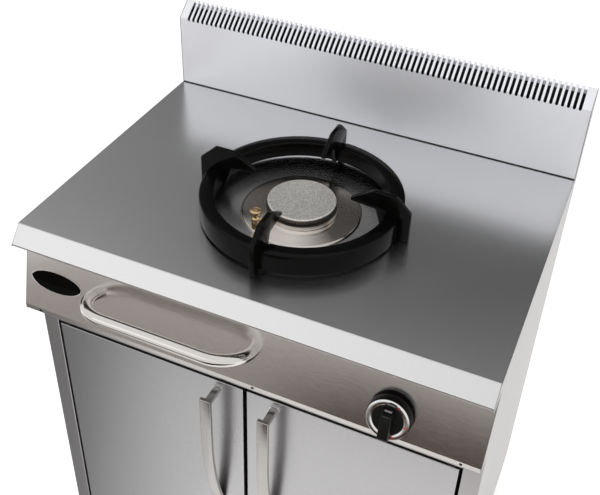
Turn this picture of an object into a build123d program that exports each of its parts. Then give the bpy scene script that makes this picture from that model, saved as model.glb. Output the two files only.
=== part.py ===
from build123d import *
import math
import os

os.makedirs("parts", exist_ok=True)

# Free-standing gas wok stove. Millimetres, +X to the right, +Y to the back, +Z up.
# The origin is on the floor, under the middle of the whole box.

# Upper module, seen from the side: distances are behind and below the worktop's front fold.
width = 800.0
worktop_height = 850.0
worktop_depth = 531.0
splash_height = 143.0
flue_depth = 34.0
slot_band_rise = 27.0
nose_run = 25.0
nose_drop = 31.0
nose_return = 14.0
panel_tilt = 15.0
panel_reach = 18.0
panel_foot_drop = 161.0
panel_lip = 10.0
panel_return = 50.0

# Sheets
worktop_gauge = 1.5
panel_gauge = 1.5
skirt_gauge = 1.2
cabinet_gauge = 1.0
door_gauge = 1.0
bend = 2.0
edge_bend = 1.6
seam = 0.3
touch = 0.2

# Slots of the splashback
slot_width = 5.6
slot_pitch = 10.0
slot_margin = 20.0
slot_foot = 5.0
slot_head = 1.5

# Burner, placed on the centre line
burner_setback = 233.0
plate_radius = 101.5
plate_rise = 3.5
plate_slope = 3.5
plate_gauge = 1.2
worktop_hole_radius = 45.0
throat_radius = 38.0
throat_wall = 4.0
throat_drop = 60.0
base_ring_radius = 60.0
base_ring_height = 8.5
port_ring_radius = 54.5
port_ring_bore = 40.0
port_ring_height = 8.5
port_count = 60
port_radius = 1.1
cap_radius = 57.5
cap_height = 3.0
cap_spigot = 4.0
cap_play = 1.0
hole_play = 1.0
mixing_drop = 40.0
mixing_radius = 14.0
mixing_wall = 1.5
mixing_length = 80.0
socket_wall = 4.0
socket_length = 14.0
socket_grip = 8.0
fit_gap = 0.1

# Pilot burner and thermocouple, beside the burner
pilot_ring = 91.0
pilot_angle = -121.0
pilot_radius = 7.0
pilot_shank = 4.5
pilot_head_radius = 9.5
pilot_height = 35.0
probe_ring = 75.0
probe_angle = -115.0
probe_height = 15.0
probe_radius = 2.2
probe_collar = 4.5

# Wok ring
ring_radius = 170.0
ring_bore = 146.0
ring_top = 41.5
ring_foot = 4.0
ring_wall = 6.0
ring_inner_foot = 13.5
ring_recess = 3.0
ring_recess_width = 24.0
fin_count = 4
fin_gauge = 8.0
fin_reach = 188.0
fin_shoulder = 56.0
fin_peak = 82.0
fin_peak_outer = 160.0
fin_peak_inner = 124.0
fin_tip_radius = 86.0
fin_tip_height = 58.0
fin_tip_gauge = 5.0
fin_root_radius = 134.0
fin_root_height = 49.0

# Hand rail, in a plane square to the control panel
rail_inset = 134.0
rail_span = 291.0
rail_height = 60.0
rail_projection = 58.0
rail_bend = 56.0
rail_radius = 10.0
rail_wall = 1.5
rail_plug = 6.0

# Badge plate
badge_inset = 61.4
badge_height = 59.0
badge_half_width = 50.4
badge_half_height = 19.5
badge_gauge = 1.0

# Gas tap and knob
tap_inset = 144.0
tap_height = 40.0
knob_radius = 35.0
knob_front_radius = 34.0
knob_standoff = 5.5
knob_depth = 14.5
knob_travel = 4.0
scale_outer = 33.0
scale_inner = 24.5
scale_proud = 0.4
grip_width = 17.5
grip_height = 15.0
grip_front = 33.0
grip_back = 19.5
grip_top_width = 16.5
grip_top_front = 27.0
grip_top_back = 15.6
spindle_radius = 4.0
spindle_fit = 0.05
plug_radius = 10.0
valve_radius = 16.0
valve_length = 46.0
valve_flange = 3.0
panel_hole = 7.0

# Pipes
pipe_wall = 1.0
feed_radius = 5.0
pilot_tube_radius = 3.0
probe_lead_radius = 1.5
inlet_radius = 8.0
inlet_inset = 80.0
inlet_thread_radius = 10.48
inlet_thread_length = 21.0
inlet_collar = 5.0
nut_length = 12.0

# Cabinet
face_setback = 19.0
foot_height = 50.0
post_width = 30.0
post_return = 18.0
side_flange = 20.0
rest_flange = 14.0
top_rail_height = 49.0
top_rail_depth = 30.0
top_rail_gauge = 1.2
floor_level = 84.0

# Doors
door_thickness = 18.0
door_gap_top = 6.0
door_gap_side = 5.0
door_gap_centre = 7.0
door_gap_bottom = 6.0
pivot_inset = 12.0
pin_radius = 4.0
pin_fit = 0.08
pin_grip = 14.0
bush_radius = 6.0
bush_flange_radius = 7.5
bush_flange = 2.4
bracket_gauge = 3.0

# Door handles
handle_x = 52.5
handle_top_drop = 234.0
handle_straight = 100.0
handle_bow_radius = 640.0
handle_projection = 42.0
handle_width = 20.0
handle_gauge = 7.0
leg_width = 12.0
leg_offset = 3.0
rosette_length = 18.0
rosette_width = 12.0
rosette_gauge = 2.5

# Feet
foot_inset = 60.0
foot_pad_radius = 20.0
foot_pad_height = 12.0
stem_radius = 5.0
stem_fit = 0.06
sleeve_radius = 9.0
sleeve_plate = 50.0
sleeve_plate_gauge = 3.0
sleeve_drop = 28.0

# Places worked out from the sizes above
half_width = width / 2
rail_left = rail_inset - half_width
rail_right = rail_left + rail_span
badge_x = badge_inset - half_width
tap_x = half_width - tap_inset
inlet_x = half_width - inlet_inset
inner_half = half_width - skirt_gauge - seam
tilt = math.radians(panel_tilt)
module_drop = panel_foot_drop + panel_lip
back_reach = worktop_depth + flue_depth
inlet_reach = back_reach - worktop_gauge + touch + inlet_collar + inlet_thread_length
front_reach = (
    panel_reach
    - rail_height * math.sin(tilt)
    + rail_projection * math.cos(tilt)
    + rail_radius
)
fold_y = (front_reach - inlet_reach) / 2
module_foot = worktop_height - module_drop


def back(distance):
    """The y of a place this far behind the worktop's front fold."""
    return fold_y + distance


def down(distance):
    """The z of a place this far below the worktop."""
    return worktop_height - distance


panel_plane = Plane(
    origin=(0, back(-panel_reach), down(panel_foot_drop)),
    x_dir=(1, 0, 0),
    z_dir=(0, -math.cos(tilt), math.sin(tilt)),
)
burner_y = back(burner_setback)
burner_axis = Axis((0, burner_y, 0), (0, 0, 1))
burner_section = Plane(origin=(0, burner_y, worktop_height), x_dir=(1, 0, 0), z_dir=(0, -1, 0))


def on_panel(x, height, proud):
    """A point given by its x, its height up the panel's face and how far it stands out of it."""
    return panel_plane.from_local_coords((x, height, proud))


def panel_axis_plane(x, height, proud):
    """A plane parallel to the panel's face, with its origin at the given point."""
    return Plane(origin=on_panel(x, height, proud), x_dir=(1, 0, 0), z_dir=panel_plane.z_dir)


def around_burner(radius, angle, height):
    """A point at a radius and an angle about the burner, at a height over the worktop."""
    turn = math.radians(angle)
    return (radius * math.cos(turn), burner_y + radius * math.sin(turn), worktop_height + height)


pilot_place = around_burner(pilot_ring, pilot_angle, 0)
probe_place = around_burner(probe_ring, probe_angle, 0)
pilot_hole_radius = pilot_shank + hole_play
probe_hole_radius = probe_radius + hole_play


def folded_section(plane, points, gauge, radii):
    """A bent sheet's section: its outer face follows the points and the sheet lies to their right."""
    with BuildSketch(plane) as section:
        with BuildLine():
            FilletPolyline(*points, radius=radii)
            offset(amount=gauge, side=Side.RIGHT)
        make_face()
    return section.sketch


def turned_section(plane, points):
    """A closed outline on a plane, for a turned piece."""
    with BuildSketch(plane) as section:
        with BuildLine():
            Polyline(*points, close=True)
        make_face()
    return section.sketch


def round_tube(route, radii, outer, wall):
    """A bent tube along a route of points; a wall of 0 makes a solid rod."""
    with BuildPart() as tube:
        with BuildLine() as path:
            FilletPolyline(*route, radius=radii)
        with BuildSketch(Plane(origin=route[0], z_dir=Vector(*route[1]) - Vector(*route[0]))):
            Circle(outer)
            if wall > 0:
                Circle(outer - wall, mode=Mode.SUBTRACT)
        sweep(path=path.line)
    return tube.part


def save(piece, name):
    """Names a finished piece and writes its file."""
    piece.label = name
    export_step(piece, f"parts/{name}.step")


# Worktop: a flat sheet with a sloped nose in front and a flange down at the back.
worktop_back = worktop_depth - seam
worktop_points = [
    (back(nose_return - nose_run), down(nose_drop)),
    (back(-nose_run), down(nose_drop)),
    (back(0), down(0)),
    (back(worktop_back), down(0)),
    (back(worktop_back), down(nose_drop)),
]
with BuildPart() as worktop:
    extrude(
        folded_section(Plane.YZ, worktop_points, worktop_gauge, [edge_bend, bend, edge_bend]),
        amount=half_width,
        both=True,
    )
    with BuildSketch(Plane.XY.offset(down(nose_drop + seam))):
        for side in (-1, 1):
            with Locations((side * half_width, back(-nose_run / 2))):
                Rectangle(2 * (skirt_gauge + seam), nose_run + seam)
    extrude(amount=nose_drop + 2 * seam, mode=Mode.SUBTRACT)
    with BuildSketch(Plane.XY.offset(down(nose_drop + seam))):
        for side in (-1, 1):
            with Locations((side * half_width, back(worktop_depth / 2))):
                Rectangle(2 * (skirt_gauge + seam), worktop_depth)
    extrude(amount=nose_drop + seam - worktop_gauge, mode=Mode.SUBTRACT)
    with BuildSketch(Plane.XY.offset(worktop_height - 2 * worktop_gauge)):
        with Locations((0, burner_y)):
            Circle(worktop_hole_radius)
        with Locations((pilot_place[0], pilot_place[1])):
            Circle(pilot_hole_radius)
        with Locations((probe_place[0], probe_place[1])):
            Circle(probe_hole_radius)
    extrude(amount=3 * worktop_gauge, mode=Mode.SUBTRACT)
save(worktop.part, "worktop")

# Side skirts: they close the module's ends and rise behind as the flue's cheeks.
panel_top_setback = (panel_foot_drop - worktop_gauge) * math.tan(tilt) - panel_reach
notch_setback = (panel_foot_drop - nose_drop) * math.tan(tilt) - panel_reach
skirt_outline = [
    (back(0), down(worktop_gauge)),
    (back(-nose_run), down(nose_drop)),
    (back(notch_setback), down(nose_drop)),
    (back(-panel_reach), down(panel_foot_drop)),
    (back(-panel_reach), down(module_drop)),
    (back(back_reach), down(module_drop)),
    (back(back_reach), down(-splash_height - slot_band_rise)),
    (back(worktop_depth), down(-splash_height)),
    (back(worktop_depth), down(worktop_gauge)),
]
skirt_flange_width = 30.0
skirt_top_flange = 15.0
skirt_flange_inset = panel_top_setback + side_flange + seam
flue_back_gauge = 1.2
flue_back_y = back(back_reach - worktop_gauge - flue_back_gauge)
flue_back_overlap = 15.0
splash_back_flange = 20.0
screw_radius = 3.0
screw_setbacks = (90.0, 470.0)
screw_inset = 12.0


def make_skirt(side):
    """One module side, with flanges under the worktop, at its foot and along its back edge."""
    skin = side * (half_width - skirt_gauge)
    with BuildPart() as skirt:
        with BuildSketch(Plane.YZ.offset(skin)):
            with BuildLine():
                Polyline(*skirt_outline, close=True)
            make_face()
        extrude(amount=side * skirt_gauge)
        flange_length = worktop_depth - 2 * skirt_flange_inset
        with BuildSketch(Plane.XY.offset(down(worktop_gauge))):
            with Locations((skin - side * skirt_top_flange / 2, back(worktop_depth / 2))):
                Rectangle(skirt_top_flange, flange_length)
        extrude(amount=-skirt_gauge)
        with BuildSketch(Plane.XY.offset(down(module_drop))):
            with Locations((skin - side * skirt_flange_width / 2, back(back_reach / 2))):
                Rectangle(skirt_flange_width, back_reach - 2 * skirt_flange_inset)
        extrude(amount=skirt_gauge)
        with BuildSketch(Plane.XY.offset(down(module_drop))):
            with Locations((skin - side * skirt_top_flange / 2, flue_back_y - skirt_gauge / 2)):
                Rectangle(skirt_top_flange, skirt_gauge)
        extrude(amount=module_drop + splash_height)
        with BuildSketch(Plane.XY.offset(down(module_drop))):
            for setback in screw_setbacks:
                with Locations((side * (half_width - screw_inset), back(setback))):
                    Circle(screw_radius + fit_gap)
        extrude(amount=skirt_gauge, mode=Mode.SUBTRACT)
    return skirt.part


left_side_skirt = make_skirt(-1)
save(left_side_skirt, "left_side_skirt")
right_side_skirt = make_skirt(1)
save(right_side_skirt, "right_side_skirt")

# Control panel: hangs under the worktop, slopes forward and ends in a lip and a return.
panel_points = [
    (back(panel_return - panel_reach), down(module_drop)),
    (back(-panel_reach), down(module_drop)),
    (back(-panel_reach), down(panel_foot_drop)),
    (back(panel_top_setback), down(worktop_gauge)),
    (back(panel_top_setback + side_flange), down(worktop_gauge)),
]
lip_hole_radius = 2.5
lip_hole_inset = 30.5
lip_hole_x = half_width - lip_hole_inset
lip_middle_hole_x = 33.0
rail_screw_radius = 3.0
valve_screw_radius = 2.0
valve_screw_spacing = 36.0
with BuildPart() as control_panel:
    extrude(
        folded_section(Plane.YZ, panel_points, panel_gauge, edge_bend),
        amount=inner_half,
        both=True,
    )
    with BuildSketch(panel_plane.offset(-2 * panel_gauge)):
        with Locations((tap_x, tap_height)):
            Circle(panel_hole)
            with GridLocations(valve_screw_spacing, 1, 2, 1):
                Circle(valve_screw_radius + fit_gap)
        with Locations((rail_left, rail_height), (rail_right, rail_height)):
            Circle(rail_screw_radius + fit_gap)
    extrude(amount=3 * panel_gauge, mode=Mode.SUBTRACT)
    with BuildSketch(Plane.XZ.offset(-back(-panel_reach - panel_gauge))):
        with Locations(
            (-lip_hole_x, down(module_drop - panel_lip / 2)),
            (lip_middle_hole_x, down(module_drop - panel_lip / 2)),
            (lip_hole_x, down(module_drop - panel_lip / 2)),
        ):
            Circle(lip_hole_radius)
    extrude(amount=-3 * panel_gauge, mode=Mode.SUBTRACT)
save(control_panel.part, "control_panel")

# Splashback: upright face, slanted band with the slots, short flange down at the back.
splash_points = [
    (back(worktop_depth), down(nose_drop)),
    (back(worktop_depth), down(-splash_height)),
    (back(back_reach), down(-splash_height - slot_band_rise)),
    (back(back_reach), down(splash_back_flange - splash_height - slot_band_rise)),
]
band_slope = math.atan2(slot_band_rise, flue_depth)
band_length = math.hypot(slot_band_rise, flue_depth)
slot_below = slot_foot * math.sin(band_slope)
slot_length = slot_below + band_length - slot_head
slot_count = int((width - 2 * slot_margin) / slot_pitch) + 1
band_plane = Plane(
    origin=(0, back(worktop_depth), down(-splash_height)),
    x_dir=(1, 0, 0),
    z_dir=(0, -math.sin(band_slope), math.cos(band_slope)),
)
slot_cut_depth = slot_foot * math.cos(band_slope) + worktop_gauge
with BuildPart() as splashback:
    extrude(
        folded_section(Plane.YZ, splash_points, worktop_gauge, [bend, edge_bend]),
        amount=inner_half,
        both=True,
    )
    with BuildSketch(band_plane.offset(worktop_gauge)):
        with Locations((0, slot_length / 2 - slot_below)):
            with GridLocations(slot_pitch, 1, slot_count, 1):
                SlotOverall(slot_length, slot_width, rotation=90)
    extrude(amount=-slot_cut_depth - worktop_gauge, mode=Mode.SUBTRACT)
save(splashback.part, "splashback")

# Flue back: the sheet that closes the module behind, with the gas inlet's hole.
tap_axis_depth = 34.0
tap_port = on_panel(tap_x, tap_height, -tap_axis_depth)
inlet_hole_radius = inlet_thread_radius + hole_play
with BuildPart() as flue_back:
    with BuildSketch(Plane.XZ.offset(-flue_back_y)):
        with BuildLine():
            Polyline(
                (-inner_half, module_foot),
                (inner_half, module_foot),
                (inner_half, down(flue_back_overlap - splash_height - slot_band_rise)),
                (-inner_half, down(flue_back_overlap - splash_height - slot_band_rise)),
                close=True,
            )
        make_face()
        with Locations((inlet_x, tap_port.Z)):
            Circle(inlet_hole_radius, mode=Mode.SUBTRACT)
    extrude(amount=-flue_back_gauge)
save(flue_back.part, "flue_back")

# Worktop stiffeners: two hat rails under the sheet, left and right of the burner.
stiffener_x = 150.0
stiffener_depth = 20.0
stiffener_half = 15.0
stiffener_lip = 15.0
stiffener_front = 60.0
stiffener_back = 490.0
hat_points = [
    (-stiffener_half - stiffener_lip, down(worktop_gauge)),
    (-stiffener_half, down(worktop_gauge)),
    (-stiffener_half, down(worktop_gauge + stiffener_depth)),
    (stiffener_half, down(worktop_gauge + stiffener_depth)),
    (stiffener_half, down(worktop_gauge)),
    (stiffener_half + stiffener_lip, down(worktop_gauge)),
]
with BuildPart() as stiffener:
    extrude(
        folded_section(
            Plane.XZ.offset(-back(stiffener_front)), hat_points, worktop_gauge, edge_bend
        ),
        amount=stiffener_front - stiffener_back,
    )
stiffeners = Compound(
    [Pos(-stiffener_x, 0, 0) * stiffener.part.solid(), Pos(stiffener_x, 0, 0) * stiffener.part.solid()]
)
save(stiffeners, "worktop_stiffeners")

# Heat shield: a tray that closes the module below, on the skirts' foot flanges.
shield_rest = 8.0
shield_rim = 12.0
shield_half = half_width - skirt_gauge - skirt_flange_width + shield_rest
shield_level = module_drop - skirt_gauge - touch
shield_front = panel_return - panel_reach + seam
shield_back = back_reach - worktop_gauge - flue_back_gauge - skirt_gauge - seam
shield_points = [
    (back(shield_back), down(shield_level - shield_rim)),
    (back(shield_back), down(shield_level)),
    (back(shield_front), down(shield_level)),
    (back(shield_front), down(shield_level - shield_rim)),
]
with BuildPart() as heat_shield:
    extrude(
        folded_section(Plane.YZ, shield_points, cabinet_gauge, edge_bend),
        amount=shield_half,
        both=True,
    )
save(heat_shield.part, "heat_shield")

# Burner plate: a pressed disc that stands on the worktop and covers its hole.
plate_hole_x = 82.0
plate_hole_radius = 2.0
plate_bore = throat_radius + hole_play
plate_top_radius = plate_radius - plate_slope
plate_points = [
    (plate_radius, touch),
    (plate_top_radius, plate_rise),
    (plate_bore, plate_rise),
    (plate_bore, plate_rise - plate_gauge),
    (plate_top_radius - plate_gauge, plate_rise - plate_gauge),
    (plate_radius - 2 * plate_gauge, touch),
]
with BuildPart() as burner_plate:
    revolve(turned_section(burner_section, plate_points), axis=burner_axis)
    with BuildSketch(Plane.XY.offset(worktop_height - plate_rise)):
        with Locations((plate_hole_x, burner_y)):
            Circle(plate_hole_radius)
        with Locations((pilot_place[0], pilot_place[1])):
            Circle(pilot_hole_radius)
        with Locations((probe_place[0], probe_place[1])):
            Circle(probe_hole_radius)
    extrude(amount=3 * plate_rise, mode=Mode.SUBTRACT)
save(burner_plate.part, "burner_plate")

# Burner body: base ring, throat through the worktop and a socket for the mixing tube.
body_foot = plate_rise + touch
body_top = body_foot + base_ring_height
throat_bore = throat_radius - throat_wall
body_points = [
    (0, -throat_drop),
    (throat_radius, -throat_drop),
    (throat_radius, body_foot),
    (base_ring_radius, body_foot),
    (base_ring_radius, body_top),
    (0, body_top),
]
socket_reach = throat_radius + socket_length
mixing_section = Plane(
    origin=(0, burner_y - socket_reach, down(mixing_drop)), x_dir=(1, 0, 0), z_dir=(0, -1, 0)
)
with BuildPart() as burner_body:
    revolve(turned_section(burner_section, body_points), axis=burner_axis)
    with BuildSketch(mixing_section):
        Circle(mixing_radius + fit_gap + socket_wall)
    extrude(amount=throat_bore - socket_reach)
    with BuildSketch(Plane.XY.offset(down(throat_drop - throat_wall))):
        with Locations((0, burner_y)):
            Circle(throat_bore)
    extrude(amount=throat_drop + body_top, mode=Mode.SUBTRACT)
    with BuildSketch(mixing_section):
        Circle(mixing_radius + fit_gap)
    extrude(amount=-socket_grip - fit_gap, mode=Mode.SUBTRACT)
    with BuildSketch(mixing_section):
        Circle(mixing_radius - mixing_wall)
    extrude(amount=-socket_reach, mode=Mode.SUBTRACT)
save(burner_body.part, "burner_body")

# Port ring: a short ring with one row of fine radial ports.
port_foot = body_top + touch
port_top = port_foot + port_ring_height
port_ring_width = port_ring_radius - port_ring_bore
with BuildPart() as burner_port_ring:
    with BuildSketch(Plane.XY.offset(worktop_height + port_foot)):
        with Locations((0, burner_y)):
            Circle(port_ring_radius)
            Circle(port_ring_bore, mode=Mode.SUBTRACT)
    extrude(amount=port_ring_height)
    with Locations((0, burner_y, worktop_height + port_foot + port_ring_height / 2)):
        with PolarLocations((port_ring_radius + port_ring_bore) / 2, port_count):
            Cylinder(port_radius, 2 * port_ring_width, rotation=(0, 90, 0), mode=Mode.SUBTRACT)
save(burner_port_ring.part, "burner_port_ring")

# Burner cap: a loose lid whose spigot drops into the port ring.
cap_foot = port_top + touch
cap_top = cap_foot + cap_height
cap_edge = 0.8
cap_points = [
    (0, cap_foot - cap_spigot),
    (port_ring_bore - cap_play, cap_foot - cap_spigot),
    (port_ring_bore - cap_play, cap_foot),
    (cap_radius, cap_foot),
    (cap_radius, cap_top - cap_edge),
    (cap_radius - cap_edge, cap_top),
    (0, cap_top),
]
with BuildPart() as burner_cap:
    revolve(turned_section(burner_section, cap_points), axis=burner_axis)
save(burner_cap.part, "burner_cap")

# Mixing tube with a slightly belled mouth, towards the front.
tube_start = socket_reach - socket_grip
tube_mouth = tube_start + mixing_length
with BuildPart() as mixing_tube:
    with BuildSketch(mixing_section.offset(-socket_grip)):
        Circle(mixing_radius)
        Circle(mixing_radius - mixing_wall, mode=Mode.SUBTRACT)
    extrude(amount=mixing_length)
    chamfer(
        mixing_tube.edges().filter_by(GeomType.CIRCLE).group_by(Axis.Y)[0].sort_by(SortBy.RADIUS)[0],
        length=mixing_wall / 2,
    )
save(mixing_tube.part, "mixing_tube")

# Air shutter: a collar on the tube's mouth with air windows and a front wall for the injector.
shutter_wall = 1.5
shutter_overlap = 12.0
shutter_opening = 11.0
shutter_windows = 3
shutter_window_width = 14.0
injector_radius = 4.5
shutter_front = tube_mouth + shutter_opening
shutter_length = shutter_overlap + shutter_opening
shutter_section = Plane(
    origin=(0, burner_y - shutter_front, down(mixing_drop)), x_dir=(1, 0, 0), z_dir=(0, -1, 0)
)
with BuildPart() as air_shutter:
    with BuildSketch(shutter_section):
        Circle(mixing_radius + fit_gap + shutter_wall)
    extrude(amount=-shutter_length)
    with BuildSketch(shutter_section.offset(-shutter_wall)):
        Circle(mixing_radius + fit_gap)
    extrude(amount=-shutter_length, mode=Mode.SUBTRACT)
    with BuildSketch(shutter_section):
        Circle(injector_radius + fit_gap)
    extrude(amount=-2 * shutter_wall, mode=Mode.SUBTRACT)
    with BuildSketch(shutter_section.offset(-shutter_wall)):
        with PolarLocations(mixing_radius, shutter_windows, start_angle=90):
            Rectangle(4 * shutter_wall, shutter_window_width)
    extrude(amount=shutter_wall - shutter_opening, mode=Mode.SUBTRACT)
save(air_shutter.part, "air_shutter")

# Burner bracket: hangs under the worktop and holds the injector in front of the tube.
bracket_sheet = 2.0
bracket_half = 18.0
bracket_foot = 22.0
bracket_gap = 0.8
bracket_overhang = 14.0
bracket_setback = burner_setback - shutter_front - bracket_sheet - bracket_gap
bracket_drop = mixing_drop + bracket_overhang
bracket_points = [
    (back(bracket_setback), down(bracket_drop)),
    (back(bracket_setback), down(worktop_gauge + touch)),
    (back(bracket_setback + bracket_foot), down(worktop_gauge + touch)),
]
with BuildPart() as burner_bracket:
    extrude(
        folded_section(Plane.YZ, bracket_points, bracket_sheet, bracket_sheet + edge_bend),
        amount=bracket_half,
        both=True,
    )
    with BuildSketch(shutter_section):
        Circle(injector_radius + fit_gap)
    extrude(amount=bracket_foot, mode=Mode.SUBTRACT)
save(burner_bracket.part, "burner_bracket")

# Injector: a turned nozzle with a hexagon in front of the bracket.
nozzle_reach = 5.0
injector_hex = 8.0
injector_hex_length = 8.0
injector_bore = 2.5
orifice_radius = 0.8
orifice_length = 2.0
hex_setback = bracket_setback - touch
nozzle_setback = burner_setback - tube_mouth - shutter_opening + nozzle_reach + shutter_wall
injector_section = Plane(
    origin=(0, back(hex_setback), down(mixing_drop)), x_dir=(1, 0, 0), z_dir=(0, -1, 0)
)
nozzle_length = nozzle_setback - hex_setback
with BuildPart() as injector:
    with BuildSketch(injector_section):
        RegularPolygon(injector_hex, 6)
    extrude(amount=injector_hex_length)
    with BuildSketch(injector_section):
        Circle(injector_radius)
    extrude(amount=-nozzle_length)
    with BuildSketch(injector_section.offset(injector_hex_length)):
        Circle(injector_bore)
    extrude(amount=orifice_length - injector_hex_length - nozzle_length, mode=Mode.SUBTRACT)
    with BuildSketch(injector_section):
        Circle(orifice_radius)
    extrude(amount=-2 * nozzle_length, mode=Mode.SUBTRACT)
save(injector.part, "injector")

# Pilot burner: a turned body with a mushroom head and a nozzle towards the burner.
pilot_foot = plate_rise + touch
pilot_neck = 4.5
pilot_head = 6.0
pilot_shank_drop = 12.0
pilot_edge = 1.0
pilot_waist_taper = 1.5
pilot_waist_drop = 15.0
pilot_neck_drop = 9.0
pilot_top = pilot_foot + pilot_height
pilot_waist = pilot_top - pilot_waist_drop
pilot_neck_top = pilot_top - pilot_neck_drop
pilot_points = [
    (0, -pilot_shank_drop),
    (pilot_shank, -pilot_shank_drop),
    (pilot_shank, pilot_foot),
    (pilot_radius, pilot_foot),
    (pilot_radius, pilot_waist),
    (pilot_neck, pilot_waist + pilot_waist_taper),
    (pilot_neck, pilot_neck_top),
    (pilot_head_radius, pilot_top - pilot_head),
    (pilot_head_radius, pilot_top - pilot_edge),
    (pilot_head_radius - pilot_edge, pilot_top),
    (0, pilot_top),
]
pilot_section = Plane(
    origin=(pilot_place[0], pilot_place[1], worktop_height), x_dir=(1, 0, 0), z_dir=(0, -1, 0)
)
pilot_nozzle_radius = 2.6
pilot_nozzle_reach = 15.0
pilot_nozzle_rise = 11.7
toward_burner = (-math.cos(math.radians(pilot_angle)), -math.sin(math.radians(pilot_angle)), 0)
with BuildPart() as pilot_burner:
    revolve(
        turned_section(pilot_section, pilot_points), axis=Axis(pilot_section.origin, (0, 0, 1))
    )
    with BuildSketch(
        Plane(
            origin=(pilot_place[0], pilot_place[1], worktop_height + pilot_foot + pilot_nozzle_rise),
            z_dir=toward_burner,
        )
    ):
        Circle(pilot_nozzle_radius)
    extrude(amount=pilot_nozzle_reach)
save(pilot_burner.part, "pilot_burner")

# Gas tap: everything that lies on the tap's axis behind the panel.
tap_face = panel_gauge + touch
valve_plate_width = 50.0
valve_plate_height = 34.0
valve_plate_corner = 6.0
plug_inset = 10.0
plug_front = tap_face + plug_inset
plug_length = 30.0
plug_fit = 0.05
spindle_inset = 21.0
spindle_rest = tap_face + spindle_inset
spindle_push_room = 2.0
port_length = 10.0
port_wall = 3.0
pilot_port_inset = 16.0


def tap_plane(depth):
    """The plane square to the tap's axis, at a depth behind the panel's face."""
    return panel_axis_plane(tap_x, tap_height, -depth)


side_plane = Plane(origin=tap_plane(tap_axis_depth).origin, x_dir=(0, 1, 0), z_dir=(1, 0, 0))
pilot_port_plane = Plane(
    origin=tap_plane(tap_face + pilot_port_inset).origin, x_dir=(1, 0, 0), z_dir=panel_plane.y_dir
)
with BuildPart() as valve_body:
    with BuildSketch(tap_plane(tap_face)):
        RectangleRounded(valve_plate_width, valve_plate_height, valve_plate_corner)
        with GridLocations(valve_screw_spacing, 1, 2, 1):
            Circle(valve_screw_radius, mode=Mode.SUBTRACT)
    extrude(amount=-valve_flange)
    with BuildSketch(tap_plane(tap_face)):
        Circle(valve_radius)
    extrude(amount=-valve_length)
    with BuildSketch(side_plane):
        Circle(inlet_radius + port_wall)
    extrude(amount=valve_radius + port_length)
    with BuildSketch(side_plane):
        Circle(feed_radius + port_wall)
    extrude(amount=-valve_radius - port_length)
    with BuildSketch(pilot_port_plane):
        Circle(pilot_tube_radius + port_wall)
    extrude(amount=valve_radius + port_length)
    with BuildSketch(side_plane):
        Circle(inlet_radius + fit_gap)
    extrude(amount=2 * (valve_radius + port_length), mode=Mode.SUBTRACT)
    with BuildSketch(side_plane):
        Circle(feed_radius - pipe_wall)
    extrude(amount=-2 * (valve_radius + port_length), mode=Mode.SUBTRACT)
    with BuildSketch(pilot_port_plane):
        Circle(pilot_tube_radius - pipe_wall)
    extrude(amount=2 * (valve_radius + port_length), mode=Mode.SUBTRACT)
    with BuildSketch(tap_plane(plug_front - touch)):
        Circle(plug_radius + plug_fit)
    extrude(amount=-plug_length - 2 * touch, mode=Mode.SUBTRACT)
    with BuildSketch(tap_plane(0)):
        Circle(spindle_radius + plug_fit)
    extrude(amount=-plug_front, mode=Mode.SUBTRACT)
save(valve_body.part, "valve_body")

# Valve plug: turns in the body; its bore takes the spindle.
plug_bore_depth = spindle_rest + knob_travel + spindle_push_room - plug_front
with BuildPart() as valve_plug:
    with BuildSketch(tap_plane(plug_front)):
        Circle(plug_radius)
    extrude(amount=-plug_length)
    with BuildSketch(tap_plane(plug_front)):
        Circle(spindle_radius + spindle_fit)
    extrude(amount=-plug_bore_depth, mode=Mode.SUBTRACT)
    with BuildSketch(side_plane):
        Circle(feed_radius - pipe_wall)
    extrude(amount=2 * plug_radius, mode=Mode.SUBTRACT)
save(valve_plug.part, "valve_plug")

# Spindle, knob and the knob's scale ring move together.
knob_hub_radius = 9.0
knob_web = 5.0
knob_hub_depth = knob_depth - knob_web
spindle_end = knob_standoff + knob_hub_depth - touch
with BuildPart() as valve_spindle:
    with BuildSketch(tap_plane(spindle_rest)):
        Circle(spindle_radius)
    extrude(amount=spindle_rest + spindle_end)
save(valve_spindle.part, "valve_spindle")

knob_rim = 3.0
scale_seat = 1.0
grip_round = 2.5
with BuildPart() as knob:
    with BuildSketch(tap_plane(-knob_standoff)):
        Circle(knob_radius)
    with BuildSketch(tap_plane(-knob_standoff - knob_depth)):
        Circle(knob_front_radius)
    loft()
    with BuildSketch(tap_plane(-knob_standoff)):
        Circle(knob_front_radius - knob_rim)
        Circle(knob_hub_radius, mode=Mode.SUBTRACT)
    extrude(amount=knob_hub_depth, mode=Mode.SUBTRACT)
    with BuildSketch(tap_plane(-knob_standoff)):
        Circle(spindle_radius + spindle_fit)
    extrude(amount=knob_hub_depth, mode=Mode.SUBTRACT)
    with BuildSketch(tap_plane(-knob_standoff - knob_depth)):
        with Locations((0, (grip_back - grip_front) / 2)):
            RectangleRounded(grip_width, grip_front + grip_back, grip_round)
    with BuildSketch(tap_plane(-knob_standoff - knob_depth - grip_height)):
        with Locations((0, (grip_top_back - grip_top_front) / 2)):
            RectangleRounded(grip_top_width, grip_top_front + grip_top_back, grip_round)
    loft()
    with BuildSketch(tap_plane(-knob_standoff - knob_depth + scale_seat)):
        Circle(scale_outer + fit_gap)
        Circle(scale_inner - fit_gap, mode=Mode.SUBTRACT)
        with Locations((0, (grip_back - knob_radius) / 2)):
            Rectangle(grip_width, knob_radius + grip_back, mode=Mode.SUBTRACT)
    extrude(amount=2 * scale_seat, mode=Mode.SUBTRACT)
save(knob.part, "knob")

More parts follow.
